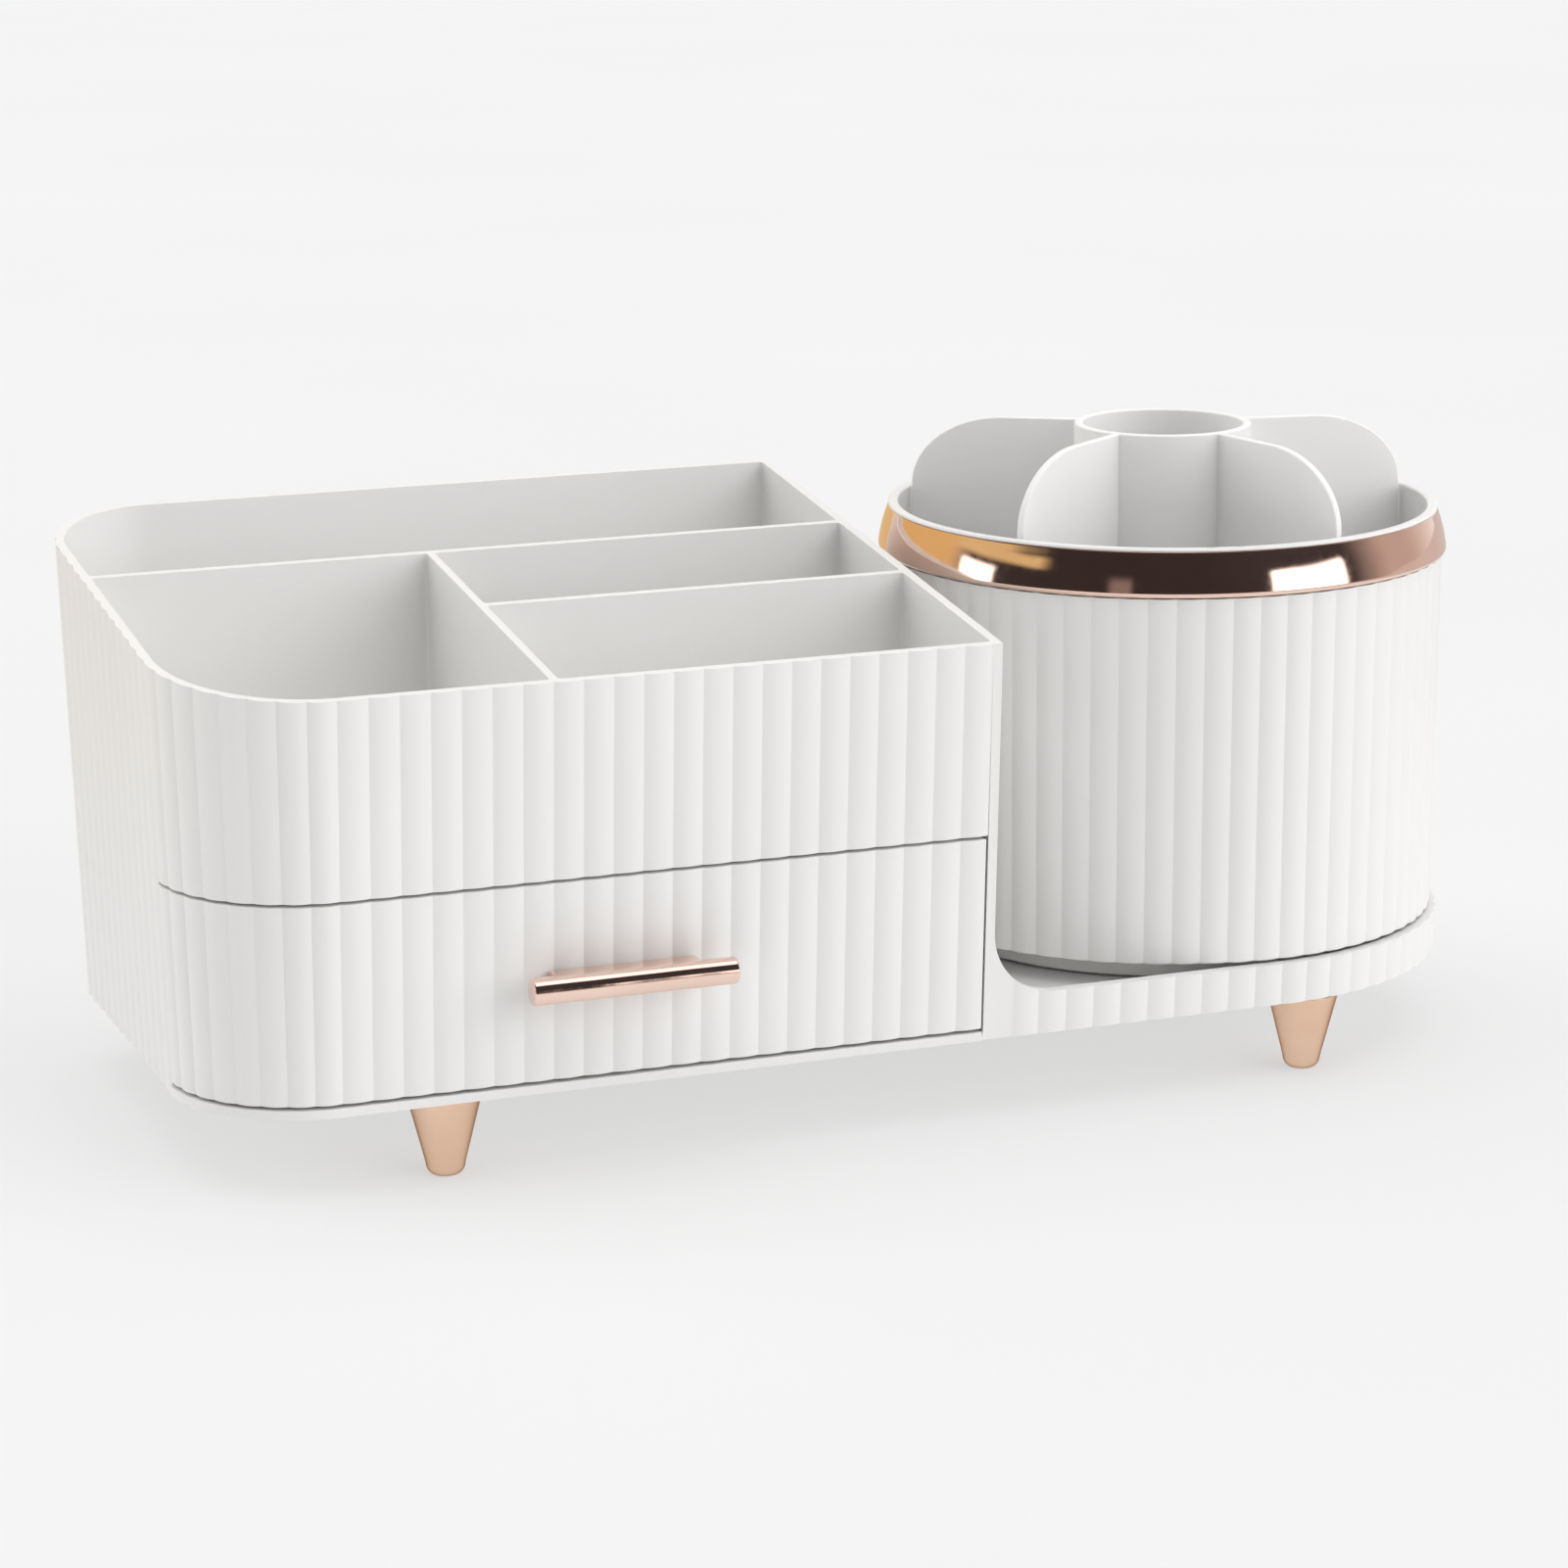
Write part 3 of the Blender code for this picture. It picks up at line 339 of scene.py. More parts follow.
def turned(name, profile, facets, closed=True):
    """Draws a profile of (radius, height) point by point, and spins it round the upright axis."""
    obj = plate(name)
    everything()
    bpy.ops.mesh.merge(type="CENTER")
    last = profile[0]
    move(last[0], 0.0, last[1])
    for point in profile[1:] + (profile[:1] if closed else []):
        bpy.ops.mesh.extrude_vertices_move(
            TRANSFORM_OT_translate={"value": (point[0] - last[0], 0.0, point[1] - last[1])}
        )
        last = point
    everything()
    bpy.ops.mesh.remove_doubles(threshold=0.002 * MM)
    everything()
    bpy.ops.mesh.spin(steps=facets, angle=TURN, center=(0.0, 0.0, 0.0), axis=(0.0, 0.0, 1.0))
    tidy()
    rest()
    return obj


# Fluted walls


def flute_share(step):
    """How deep a point lies in its flute, from one in the valley to zero on the crest."""
    return (1.0 - 2.0 * step / FLUTE_FACETS) ** 2


def carve_run(start, end, count, inward):
    """Presses flutes into a straight run of the outline, valleys at both of its ends."""
    start, end = Vector((*start, 0.0)), Vector((*end, 0.0))
    along = end - start
    facets = count * FLUTE_FACETS
    for step in range(FLUTE_FACETS // 2):

        def on_run(co):
            share = (co - start).dot(along) / along.length_squared
            if not -1e-4 < share < 1.0 + 1e-4 or (co - start - along * share).length > NEAR:
                return False
            place_in_flute = round(share * facets) % FLUTE_FACETS
            return place_in_flute in (step, FLUTE_FACETS - step)

        choose(on_run)
        depth = FLUTE_DEPTH * flute_share(step)
        move(inward[0] * depth, inward[1] * depth)


def carve_corner(centre, radius, first, count, span=QUARTER):
    """Presses flutes into a round corner, but for its two ends."""
    facets = count * FLUTE_FACETS
    for step in range(FLUTE_FACETS // 2):

        def on_corner(co):
            out = Vector((co.x - centre[0], co.y - centre[1]))
            if abs(out.length - radius) > NEAR:
                return False
            share = ((math.atan2(out.y, out.x) - first) % TURN) / span
            if not 1e-3 < share < 1.0 - 1e-3:
                return False
            return round(share * facets) % FLUTE_FACETS in (step, FLUTE_FACETS - step)

        choose(on_corner)
        scale = (radius - FLUTE_DEPTH * flute_share(step)) / radius
        stretch(scale, scale, 1.0, (*centre, 0.0))


def split_run(start, end, count):
    """Divides one straight edge of the outline into its flutes, and these into their facets."""
    low, high = Vector((*start, 0.0)), Vector((*end, 0.0))
    along = high - low
    choose(lambda co: min((co - low).length, (co - high).length) < NEAR)
    bpy.ops.mesh.subdivide(number_cuts=count - 1)

    def on_edge(co):
        share = (co - low).dot(along) / along.length_squared
        return -1e-4 < share < 1.0 + 1e-4 and (co - low - along * share).length < NEAR

    choose(on_edge)
    bpy.ops.mesh.subdivide(number_cuts=FLUTE_FACETS - 1)


LEFT_X, FRONT_X = CADDY_LEFT + REAR_CORNER, CADDY_LEFT + FRONT_CORNER
REAR_Y, FRONT_Y = DEPTH - REAR_CORNER, FRONT_CORNER - DEPTH
REAR_CENTRE, FRONT_CENTRE = (LEFT_X, REAR_Y), (FRONT_X, FRONT_Y)
RUNS = (
    ("rear", (DRAWER_EDGE, DEPTH), (LEFT_X, DEPTH), (0.0, -1.0)),
    ("left", (CADDY_LEFT, REAR_Y), (CADDY_LEFT, FRONT_Y), (1.0, 0.0)),
    ("front", (FRONT_X, -DEPTH), (DRAWER_EDGE, -DEPTH), (0.0, 1.0)),
    ("base", (STRIP_EDGE, -DEPTH), (0.0, -DEPTH), (0.0, 1.0)),
    ("base", (STRIP_EDGE, DEPTH), (0.0, DEPTH), (0.0, -1.0)),
)


def fluted_outline(name):
    """The base's outline on the ground, caddy and round platform end, with its flutes."""
    obj = plate(name)
    everything()
    stretch(DEPTH - CADDY_LEFT, 2.0 * DEPTH, 1.0)
    move((DEPTH + CADDY_LEFT) / 2.0)
    for corner, radius, count in (
        ((CADDY_LEFT, -DEPTH), FRONT_CORNER, FLUTES["front_corner"]),
        ((CADDY_LEFT, DEPTH), REAR_CORNER, FLUTES["rear_corner"]),
        ((DEPTH, -DEPTH), DEPTH, FLUTES["end"]),
        ((DEPTH, DEPTH), DEPTH, FLUTES["end"]),
    ):
        at = Vector((*corner, 0.0))
        choose(lambda co: (co - at).length < NEAR)
        round_points(radius, count * FLUTE_FACETS)
    everything()
    bpy.ops.mesh.delete(type="ONLY_FACE")
    everything()
    bpy.ops.mesh.remove_doubles(threshold=0.002 * MM)
    for x in (DRAWER_EDGE, STRIP_EDGE):
        everything()
        bpy.ops.mesh.bisect(plane_co=(x, 0.0, 0.0), plane_no=(1.0, 0.0, 0.0))
    for run, start, end, inward in RUNS:
        split_run(start, end, FLUTES[run])
    for run, start, end, inward in RUNS:
        carve_run(start, end, FLUTES[run], inward)
    carve_corner(REAR_CENTRE, REAR_CORNER, QUARTER, FLUTES["rear_corner"])
    carve_corner(FRONT_CENTRE, FRONT_CORNER, math.pi, FLUTES["front_corner"])
    carve_corner((0.0, 0.0), DEPTH, -QUARTER, 2 * FLUTES["end"], math.pi)
    return obj


def grow_corner(centre, radius, height):
    """Widens the selected top of a round corner as much as the walls beside it lean out."""
    wider, deeper = (1.0 + lean * height / radius for lean in (SIDE_LEAN, FACE_LEAN))
    stretch(wider, deeper, 1.0, (*centre, height))


def lean_out(height):
    """Leans the ring of points at this height out, as the walls do."""
    slack = FLUTE_DEPTH + NEAR

    def at_top(co):
        return abs(co.z - height) < NEAR

    choose(lambda co: at_top(co) and FRONT_X - NEAR < co.x < NEAR and co.y < slack - DEPTH)
    move(y=-FACE_LEAN * height)
    choose(lambda co: at_top(co) and LEFT_X - NEAR < co.x < NEAR and co.y > DEPTH - slack)
    move(y=FACE_LEAN * height)
    left_end = CADDY_LEFT + slack
    choose(lambda co: at_top(co) and co.x < left_end and FRONT_Y - NEAR < co.y < REAR_Y + NEAR)
    move(-SIDE_LEAN * height)
    for centre, radius, inside in (
        (FRONT_CENTRE, FRONT_CORNER, lambda co: co.x < FRONT_X - NEAR and co.y < FRONT_Y - NEAR),
        (REAR_CENTRE, REAR_CORNER, lambda co: co.x < LEFT_X - NEAR and co.y > REAR_Y + NEAR),
    ):
        choose(lambda co: at_top(co) and inside(co))
        grow_corner(centre, radius, height)
    choose(lambda co: at_top(co) and co.x > NEAR)
    grow_corner((0.0, 0.0), DEPTH, height)


def leaning_block(name, low, high, leans, corner="", radius=0.0):
    """A block whose named sides lean out with the caddy's walls, from height zero up.

    Its round left corner, front or rear, keeps its centre and grows with them.
    """
    obj = block(name, (low[0], low[1], 0.0), high)
    top = high[2]
    side, inward = (high[1], -1.0) if corner == "rear" else (low[1], 1.0)
    centre = (low[0] + radius, side + inward * radius)
    if corner:
        upright_edge(low[0], side, NEAR)
        soften(radius, 20)
    if "left" in leans:
        choose(lambda co: co.z > top - NEAR and co.x < low[0] + NEAR)
        move(-SIDE_LEAN * top)
    if "front" in leans:
        choose(lambda co: co.z > top - NEAR and co.y < low[1] + NEAR)
        move(y=-FACE_LEAN * top)
    if "rear" in leans:
        choose(lambda co: co.z > top - NEAR and co.y > high[1] - NEAR)
        move(y=FACE_LEAN * top)
    if corner:
        choose(
            lambda co: co.z > top - NEAR
            and co.x < centre[0] - NEAR
            and (centre[1] - co.y) * inward > NEAR
        )
        grow_corner(centre, radius, top)
    slice_off((0.0, 0.0, low[2]), (0.0, 0.0, -1.0))
    return obj


def upright_edge(x, y, reach=12.0 * MM):
    """Selects the one upright edge of a leaning block nearest to this corner."""
    choose(lambda co: abs(co.x - x) < reach and abs(co.y - y) < reach)


def compartment(name, low, high, leans, corner="", radius=0.0):
    """The room of one compartment, with its corners and its floor rounded."""
    obj = leaning_block(name, low, high, leans, corner, radius)
    for x in (low[0], high[0]):
        for y, end in ((low[1], "front"), (high[1], "rear")):
            if x > low[0] or end != corner:
                upright_edge(x, y)
                soften(0.8 * MM, 6)
    choose(lambda co: co.z < low[2] + NEAR)
    soften(0.5 * MM, 4)
    rest()
    return obj


# Pieces


def make_body(finish):
    obj = fluted_outline("caddy_body")
    spare = 2.0 * MM
    everything()
    move(z=-spare)
    bpy.ops.mesh.edge_face_add()
    everything()
    extrude(z=TALL + spare)
    lean_out(TALL)
    lean_out(-spare)
    slice_off((0.0, FRONT_RIM_Y, FRONT_RIM), (0.0, -RIM_RISE, 1.0))
    tidy()

    out = 0.25 * MM
    end_x, end_y = DRAWER_EDGE - 0.4 * MM, FRONT_Y - 0.4 * MM
    strip = block("strip", (CADDY_LEFT - out, -DEPTH - out, -1.5 * MM), (end_x, end_y, 4.0 * MM))
    upright_edge(CADDY_LEFT - out, -DEPTH - out, NEAR)
    soften(FRONT_CORNER + out, 64)
    upright_edge(end_x, -DEPTH - out, NEAR)
    soften(FLUTE_DEPTH, 4)
    tidy()
    boolean(obj, strip, "UNION")
    shape(obj)
    slice_off((0.0, 0.0, 0.0), (0.0, 0.0, -1.0))
    tidy()

    over = block("over_rim", (CADDY_RIGHT, -90.0 * MM, RIM), (90.0 * MM, 90.0 * MM, 140.0 * MM))
    choose(lambda co: co.x < CADDY_RIGHT + NEAR and co.z < RIM + NEAR)
    soften(15.0 * MM, 16)
    boolean(obj, over, "DIFFERENCE")

    left, right = CADDY_LEFT + WALL, CADDY_RIGHT - WALL
    front, rear = WALL - DEPTH, DEPTH - WALL
    half = DIVIDER_HALF
    back_y, middle_y, long_x = BACK_DIVIDER_Y, MIDDLE_DIVIDER_Y, LONG_DIVIDER_X
    top = 130.0 * MM
    for room in (
        compartment(
            "rear_room",
            (left, back_y + half, TRAY_FLOOR),
            (right, rear, top),
            ("left", "rear"),
            "rear",
            REAR_CORNER - WALL,
        ),
        compartment(
            "front_left_room",
            (left, front, TRAY_FLOOR),
            (long_x - half, back_y - half, top),
            ("left", "front"),
            "front",
            FRONT_CORNER - WALL,
        ),
        compartment(
            "middle_room",
            (long_x + half, middle_y + half, TRAY_FLOOR),
            (right, back_y - half, top),
            (),
        ),
        compartment(
            "front_right_room",
            (long_x + half, front, TRAY_FLOOR),
            (right, middle_y - half, top),
            ("front",),
        ),
    ):
        boolean(obj, room, "DIFFERENCE")

    bay = leaning_block(
        "bay",
        (left, -90.0 * MM, BAY_FLOOR),
        (right, rear, SEAM),
        ("left", "rear"),
        "rear",
        REAR_CORNER - WALL,
    )
    everything()
    bpy.ops.mesh.bisect(plane_co=(0.0, FRONT_Y, 0.0), plane_no=(0.0, 1.0, 0.0))
    choose(lambda co: co.x < left + NEAR and co.y < FRONT_Y + NEAR)
    extrude(-14.0 * MM)
    tidy()
    boolean(obj, bay, "DIFFERENCE")

    for name, start_x, low_z, high_z in (
        ("platform_room", CADDY_RIGHT, PLATFORM, 60.0 * MM),
        ("underside", CADDY_RIGHT + 2.4 * MM, -5.0 * MM, UNDERSIDE),
    ):
        room = block(name, (start_x, -RIM_BORE, low_z), (RIM_BORE, RIM_BORE, high_z))
        for side in (-RIM_BORE, RIM_BORE):
            choose(lambda co: co.x > RIM_BORE - NEAR and abs(co.y - side) < NEAR)
            bpy.ops.mesh.bevel(
                offset=RIM_BORE, segments=64, affect="EDGES", profile=0.5, clamp_overlap=False
            )
        tidy()
        boolean(obj, room, "DIFFERENCE")

    for name, (x, y) in FEET.items():
        if x > 0.0:
            boss = rod("boss_" + name, 7.8 * MM, 0.1 * MM, UNDERSIDE + 0.8 * MM, 48, (x, y))
            boolean(obj, boss, "UNION")
            seat = rod("seat_" + name, 3.7 * MM, 2.7 * MM, 12.0 * MM, 32, (x, y))
            boolean(obj, seat, "DIFFERENCE")
        hole = rod("hole_" + name, SCREW_HOLE, -5.0 * MM, 20.0 * MM, 24, (x, y))
        boolean(obj, hole, "DIFFERENCE")
    boolean(obj, rod("post", 4.0 * MM, 0.3 * MM, 7.7 * MM, 48), "UNION")
    boolean(obj, rod("pilot", PILOT_HOLE, 2.0 * MM, 15.0 * MM, 24), "DIFFERENCE")

    shape(obj)
    everything()
    bpy.ops.mesh.dissolve_degenerate(threshold=0.01 * MM)
    tidy()
    ease(obj, 0.35 * MM)
    smooth(obj)
    return stand(obj, "body", finish, "white_plastic", "tray_shell", "base_shell")


def make_drawer(finish):
    """The wrap-round front, cut from the caddy's own fluted outline, with the box behind it."""
    edge, end = DRAWER_EDGE - DRAWER_SIDE_GAP, FRONT_Y - DRAWER_END_GAP
    front = fluted_outline("drawer_tray")
    choose(lambda co: co.x > DRAWER_EDGE + NEAR or co.y > FRONT_Y + NEAR)
    bpy.ops.mesh.delete(type="VERT")
    everything()
    height = 60.0 * MM
    extrude(z=height)
    lean_out(height)
    for point, direction in (
        ((edge, 0.0, 0.0), (1.0, 0.0, 0.0)),
        ((0.0, end, 0.0), (0.0, 1.0, 0.0)),
        ((0.0, 0.0, DRAWER_TOP), (0.0, 0.0, 1.0)),
        ((0.0, 0.0, DRAWER_BOTTOM), (0.0, 0.0, -1.0)),
    ):
        everything()
        bpy.ops.mesh.bisect(plane_co=point, plane_no=direction, clear_outer=True)
    tidy()
    modifier(front, "SOLIDIFY", thickness=PANEL, offset=-1.0, use_even_offset=True)
    shape(front)
    tidy()
    ease(front, 0.35 * MM)

    left, right = CADDY_LEFT + WALL + 0.5 * MM, edge - 0.2 * MM
    low, rear = 4.6 * MM, DEPTH - WALL - 2.0 * MM
    face = 1.0 * MM - DEPTH
    top = 44.1 * MM
    box = leaning_block("drawer_box", (left, face, low), (right, rear, top), ("front",))
    upright_edge(left, rear)
    soften(REAR_CORNER - WALL, 20)
    upright_edge(left, face)
    soften(27.3 * MM, 20)
    upright_edge(right, rear)
    soften(3.4 * MM, 10)
    choose(lambda co: co.z < low + NEAR)
    soften(1.5 * MM, 6)
    choose(lambda co: co.z > top - NEAR)
    bpy.ops.mesh.inset(thickness=DRAWER_WALL)
    extrude(z=low + DRAWER_WALL - top)
    soften(1.2 * MM, 6)
    tidy()
    ease(box, 0.3 * MM, 4)
    boolean(front, box, "UNION")

    for x in (left + 13.5 * MM, right - 13.5 * MM):
        runner = block(
            "runner",
            (x - 1.5 * MM, -48.6 * MM, RUNNER_BOTTOM),
            (x + 1.5 * MM, 52.2 * MM, low + 0.8 * MM),
        )
        choose(lambda co: co.z < RUNNER_BOTTOM + NEAR)
        soften(0.5 * MM, 6)
        boolean(front, runner, "UNION")
    for side in HANDLE_SCREWS.values():
        hole = rod("handle_hole", 1.45 * MM, -12.0 * MM, 12.0 * MM, 24)
        place(hole, (HANDLE.x + side, HANDLE_FACE, HANDLE.z), (QUARTER, 0.0, 0.0))
        boolean(front, hole, "DIFFERENCE")
    smooth(front)
    return stand(front, "sliding_drawer", finish, "white_plastic", "drawer")


def make_handle(finish):
    """A round bar with eased ends, on one flat web that takes both screws."""
    radius, half = 3.0 * MM, 23.0 * MM
    profile = [(0.0, half)]
    profile += arc((radius - 0.5 * MM, half - 0.5 * MM), 0.5 * MM, 90.0, 0.0, 5)
    profile += arc((radius - 0.5 * MM, 0.5 * MM - half), 0.5 * MM, 0.0, -90.0, 5)
    profile += [(0.0, -half)]
    bar = turned("handle_grip", profile, 96, closed=False)
    place(bar, HANDLE, (0.0, QUARTER, 0.0))
    smooth(bar, 40.0)
    stand(bar, "sliding_drawer", finish, "rose_gold_plating", "handle_bar")

    face, inner = HANDLE_FACE - 0.25 * MM, HANDLE.y + 2.0 * MM
    web = block(
        "handle_web",
        (HANDLE.x - 16.5 * MM, inner, HANDLE.z - 1.85 * MM),
        (HANDLE.x + 16.5 * MM, face, HANDLE.z + 1.85 * MM),
    )
    choose(lambda co: co.y > face - NEAR)
    soften(0.5 * MM, 4)
    rest()
    saddle = rod("saddle", radius + 0.02 * MM, -half, half, 96)
    place(saddle, HANDLE, (0.0, QUARTER, 0.0))
    boolean(web, saddle, "DIFFERENCE")
    ease(web, 0.2 * MM, 2)
    smooth(web, 40.0)
    posts = ("handle_post_left", "handle_post_right")
    stand(web, "sliding_drawer", finish, "rose_gold_plating", *posts)


def make_cup_shell(finish):
    """Outside with flutes, a round neck inside the ring, a lip over it, and a plain bore."""
    facets = 64 * FLUTE_FACETS
    obj = rod("brush_cup", CUP_BOTTOM_RADIUS, CUP_BOTTOM, SHOULDER, facets)
    shape(obj)
    for step in range(FLUTE_FACETS // 2):

        def in_flute(co):
            share = ((math.atan2(co.y, co.x) - QUARTER) % TURN) / TURN
            return round(share * facets) % FLUTE_FACETS in (step, FLUTE_FACETS - step)

        choose(in_flute)
        scale = 1.0 - FLUTE_DEPTH * flute_share(step) / CUP_BOTTOM_RADIUS
        stretch(scale, scale, 1.0)
    choose(lambda co: co.z > SHOULDER - NEAR)
    grow = CUP_TOP_RADIUS / CUP_BOTTOM_RADIUS
    stretch(grow, grow, 1.0)
    choose(lambda co: co.z < CUP_BOTTOM + NEAR)
    soften(0.5 * MM, 6)
    rest()

    lip_foot = RING_TOP + 0.1 * MM
    neck = turned(
        "cup_neck",
        [(0.0, 90.0 * MM), (NECK, 90.0 * MM), (NECK, lip_foot), (LIP, lip_foot)]
        + arc((LIP - 0.45 * MM, LIP_TOP - 0.45 * MM), 0.45 * MM, 0.0, 90.0, 6)
        + [(0.0, LIP_TOP)],
        256,
        closed=False,
    )
    boolean(obj, neck, "UNION")
    bore = turned(
        "cup_bore",
        [(0.0, 12.6 * MM), (CUP_BORE - 2.0 * MM, 12.6 * MM)]
        + arc((CUP_BORE - 1.5 * MM, 14.1 * MM), 1.5 * MM, -60.0, 0.0, 4)
        + arc((CUP_BORE + 0.5 * MM, LIP_TOP - 0.5 * MM), 0.5 * MM, 180.0, 90.0, 6)
        + [(CUP_BORE + 0.5 * MM, 108.0 * MM), (0.0, 108.0 * MM)],
        256,
        closed=False,
    )
    boolean(obj, bore, "DIFFERENCE")
    boolean(obj, rod("cup_pocket", 4.2 * MM, 5.0 * MM, 11.5 * MM, 32), "DIFFERENCE")
    for angle in CUP_SCREWS:
        at = on_circle(CUP_SCREW_CIRCLE, angle)
        boolean(obj, rod("cup_hole", SCREW_HOLE, 5.0 * MM, 20.0 * MM, 24, at), "DIFFERENCE")
    smooth(obj)
    return stand(obj, "turning_cup", finish, "white_plastic", "cup_shell")


def make_ring(finish):
    """A plated band, barrelled a little, with a rolled lower edge and a thin upper lip."""
    inner = 63.8 * MM
    low, high, roll = 66.85 * MM, 64.6 * MM, 65.85 * MM
    profile = [(inner, RING_TOP), (high - 0.35 * MM, RING_TOP)]
    profile += arc((high - 0.35 * MM, RING_TOP - 0.35 * MM), 0.35 * MM, 75.0, 15.0, 3)
    for i in range(1, 12):
        share = i / 12.0
        bulge = 0.28 * MM * 4.0 * share * (1.0 - share)
        radius = high + (low - high) * share + bulge
        start, fall = RING_TOP - 0.4 * MM, RING_BOTTOM + 1.4 * MM - RING_TOP + 0.4 * MM
        profile.append((radius, start + fall * share))
    profile += arc((roll, RING_BOTTOM + 1.05 * MM), 1.05 * MM, 8.0, -90.0, 10)
    profile += [(inner, RING_BOTTOM)]
    obj = turned("plated_ring", profile, 256)
    smooth(obj, 50.0)
    return stand(obj, "turning_cup", finish, "rose_gold_plating", "cup_ring")


def make_fin(name, slope, drop):
    """One sector wall, upright in the plane y = 0: its top falls gently, then rounds over."""
    foot, top = 13.0 * MM, TUBE_TOP - 0.1 * MM
    root, flat, reach = TUBE - 1.0 * MM, 38.0 * MM, 61.3 * MM
    squeeze = drop / (reach - flat)
    fin = plate(name)
    everything()
    stretch((reach - root) * squeeze, top - foot, 1.0)
    choose(lambda co: co.x > 0.0 and co.y > 0.0)
    round_points(drop, 32)
    everything()
    stretch(1.0 / squeeze, 1.0, 1.0)
    move((reach + root) / 2.0, (top + foot) / 2.0, 0.9 * MM)
    fall = slope * (flat - root)
    choose(lambda co: co.y > top - drop - NEAR and co.x > flat - NEAR)
    move(y=-fall)
    everything()
    extrude(z=-1.8 * MM)
    tidy()
    rest()
    place(fin, (0.0, 0.0, 0.0), (QUARTER, 0.0, 0.0))
    ease(fin, 0.45 * MM, degrees=50.0)
    return fin


def make_insert(finish):
    foot = 12.9 * MM
    bore = TUBE - 2.0 * MM
    profile = arc((bore + 0.5 * MM, TUBE_TOP - 0.5 * MM), 0.5 * MM, 180.0, 90.0, 4)
    profile += arc((TUBE - 0.5 * MM, TUBE_TOP - 0.5 * MM), 0.5 * MM, 90.0, 0.0, 4)
    profile += [(TUBE, foot), (bore, foot)]
    obj = turned("fin_insert", profile, 128)
    fin, low_fin = make_fin("fin", 0.02, 17.0 * MM), make_fin("low_fin", 0.17, 14.2 * MM)
    for i, angle in enumerate(FIN_ANGLES):
        pattern = low_fin if i == LOW_FIN else fin
        boolean(obj, copy_of(pattern, f"fin_{i}", turn=(0.0, 0.0, math.radians(angle))), "UNION")
    bpy.data.objects.remove(fin, do_unlink=True)
    bpy.data.objects.remove(low_fin, do_unlink=True)
    smooth(obj)
    return stand(obj, "turning_cup", finish, "insert_plastic", "divider_insert")


def make_feet(finish):
    """Turned pegs: a short collar under the base, a long taper and a rounded tip."""
    top, tip = -0.3 * MM, -18.6 * MM
    profile = [(0.0, -9.3 * MM), (1.5 * MM, -9.3 * MM), (1.5 * MM, top)]
    profile += arc((7.8 * MM, top - 0.4 * MM), 0.4 * MM, 90.0, 10.0, 3)
    for i in range(1, 10):
        share = i / 10.0
        start, fall = top - 0.4 * MM, tip + 2.6 * MM - top + 0.4 * MM
        profile.append(((8.2 - 3.85 * share) * MM, start + fall * share))
    for i in range(9):
        angle = QUARTER * i / 8.0
        height = tip + 2.4 * MM * (1.0 - math.sin(angle))
        profile.append(((2.2 + 2.12 * math.cos(angle)) * MM, height))
    profile += [(0.0, tip)]
    peg = turned("peg", profile, 64, closed=False)
    smooth(peg, 40.0)
    for name, (x, y) in FEET.items():
        foot = copy_of(peg, f"peg_{name}", (x, y, 0.0))
        stand(foot, "body", finish, "satin_rose_gold", f"foot_{name}")
    bpy.data.objects.remove(peg, do_unlink=True)


def screw(name, reach):
    """A pan head screw with a cross recess, point down, the underside of its head at zero."""
    head, high = 3.2 * MM, 1.4 * MM
    profile = [(0.0, high)]
    for angle in (0.35, 0.7, 1.0):
        dome = 0.55 * MM * (1.0 - math.cos(angle))
        profile.append((head * math.sin(angle), high - dome))
    profile += [(head, high - 0.9 * MM), (head, 0.15 * MM)]
    profile += [(head - 0.15 * MM, 0.0), (1.2 * MM, 0.0)]
    turns = int((reach - 1.6 * MM) / (0.8 * MM))
    for i in range(turns):
        z = -0.4 * MM - 0.8 * MM * i
        profile += [(0.95 * MM, z), (1.2 * MM, z - 0.4 * MM)]
    profile += [(0.95 * MM, -reach + 1.0 * MM), (0.0, -reach)]
    obj = turned(name, profile, 32, closed=False)
    for turn in (0.0, QUARTER):
        slot = block("slot", (-1.5 * MM, -0.3 * MM, 0.55 * MM), (1.5 * MM, 0.3 * MM, 3.0 * MM))
        rest()
        place(slot, (0.0, 0.0, 0.0), (0.0, 0.0, turn))
        boolean(obj, slot, "DIFFERENCE")
    smooth(obj, 35.0)
    return obj


def make_screws(finish):
    def add(made, body, node):
        made.name = node + "_part"
        stand(made, body, finish, "zinc_steel", node)

    short = screw("screw", 7.0 * MM)
    for name, side in HANDLE_SCREWS.items():
        at = (HANDLE.x + side, HANDLE_FACE + 3.4 * MM, HANDLE.z)
        made = copy_of(short, name, at, (-QUARTER, 0.0, 0.0))
        add(made, "sliding_drawer", f"handle_screw_{name}")
    bpy.data.objects.remove(short, do_unlink=True)
    long = screw("screw", 9.3 * MM)
    for name, (x, y) in FEET.items():
        height = 2.3 * MM if x < 0.0 else 3.0 * MM
        add(copy_of(long, name, (x, y, height), (0.0, 0.0, 0.3)), "body", f"foot_screw_{name}")
    bpy.data.objects.remove(long, do_unlink=True)
    middle = screw("screw", 6.9 * MM)
    for i, angle in enumerate(CUP_SCREWS):
        at = (*on_circle(CUP_SCREW_CIRCLE, angle), 12.9 * MM)
        made = copy_of(middle, str(i), at, (0.0, 0.0, angle))
        add(made, "turning_cup", f"cup_screw_{i + 1}")
    add(copy_of(middle, "pivot", (0.0, 0.0, 9.1 * MM)), "body", "pivot_screw")
    bpy.data.objects.remove(middle, do_unlink=True)


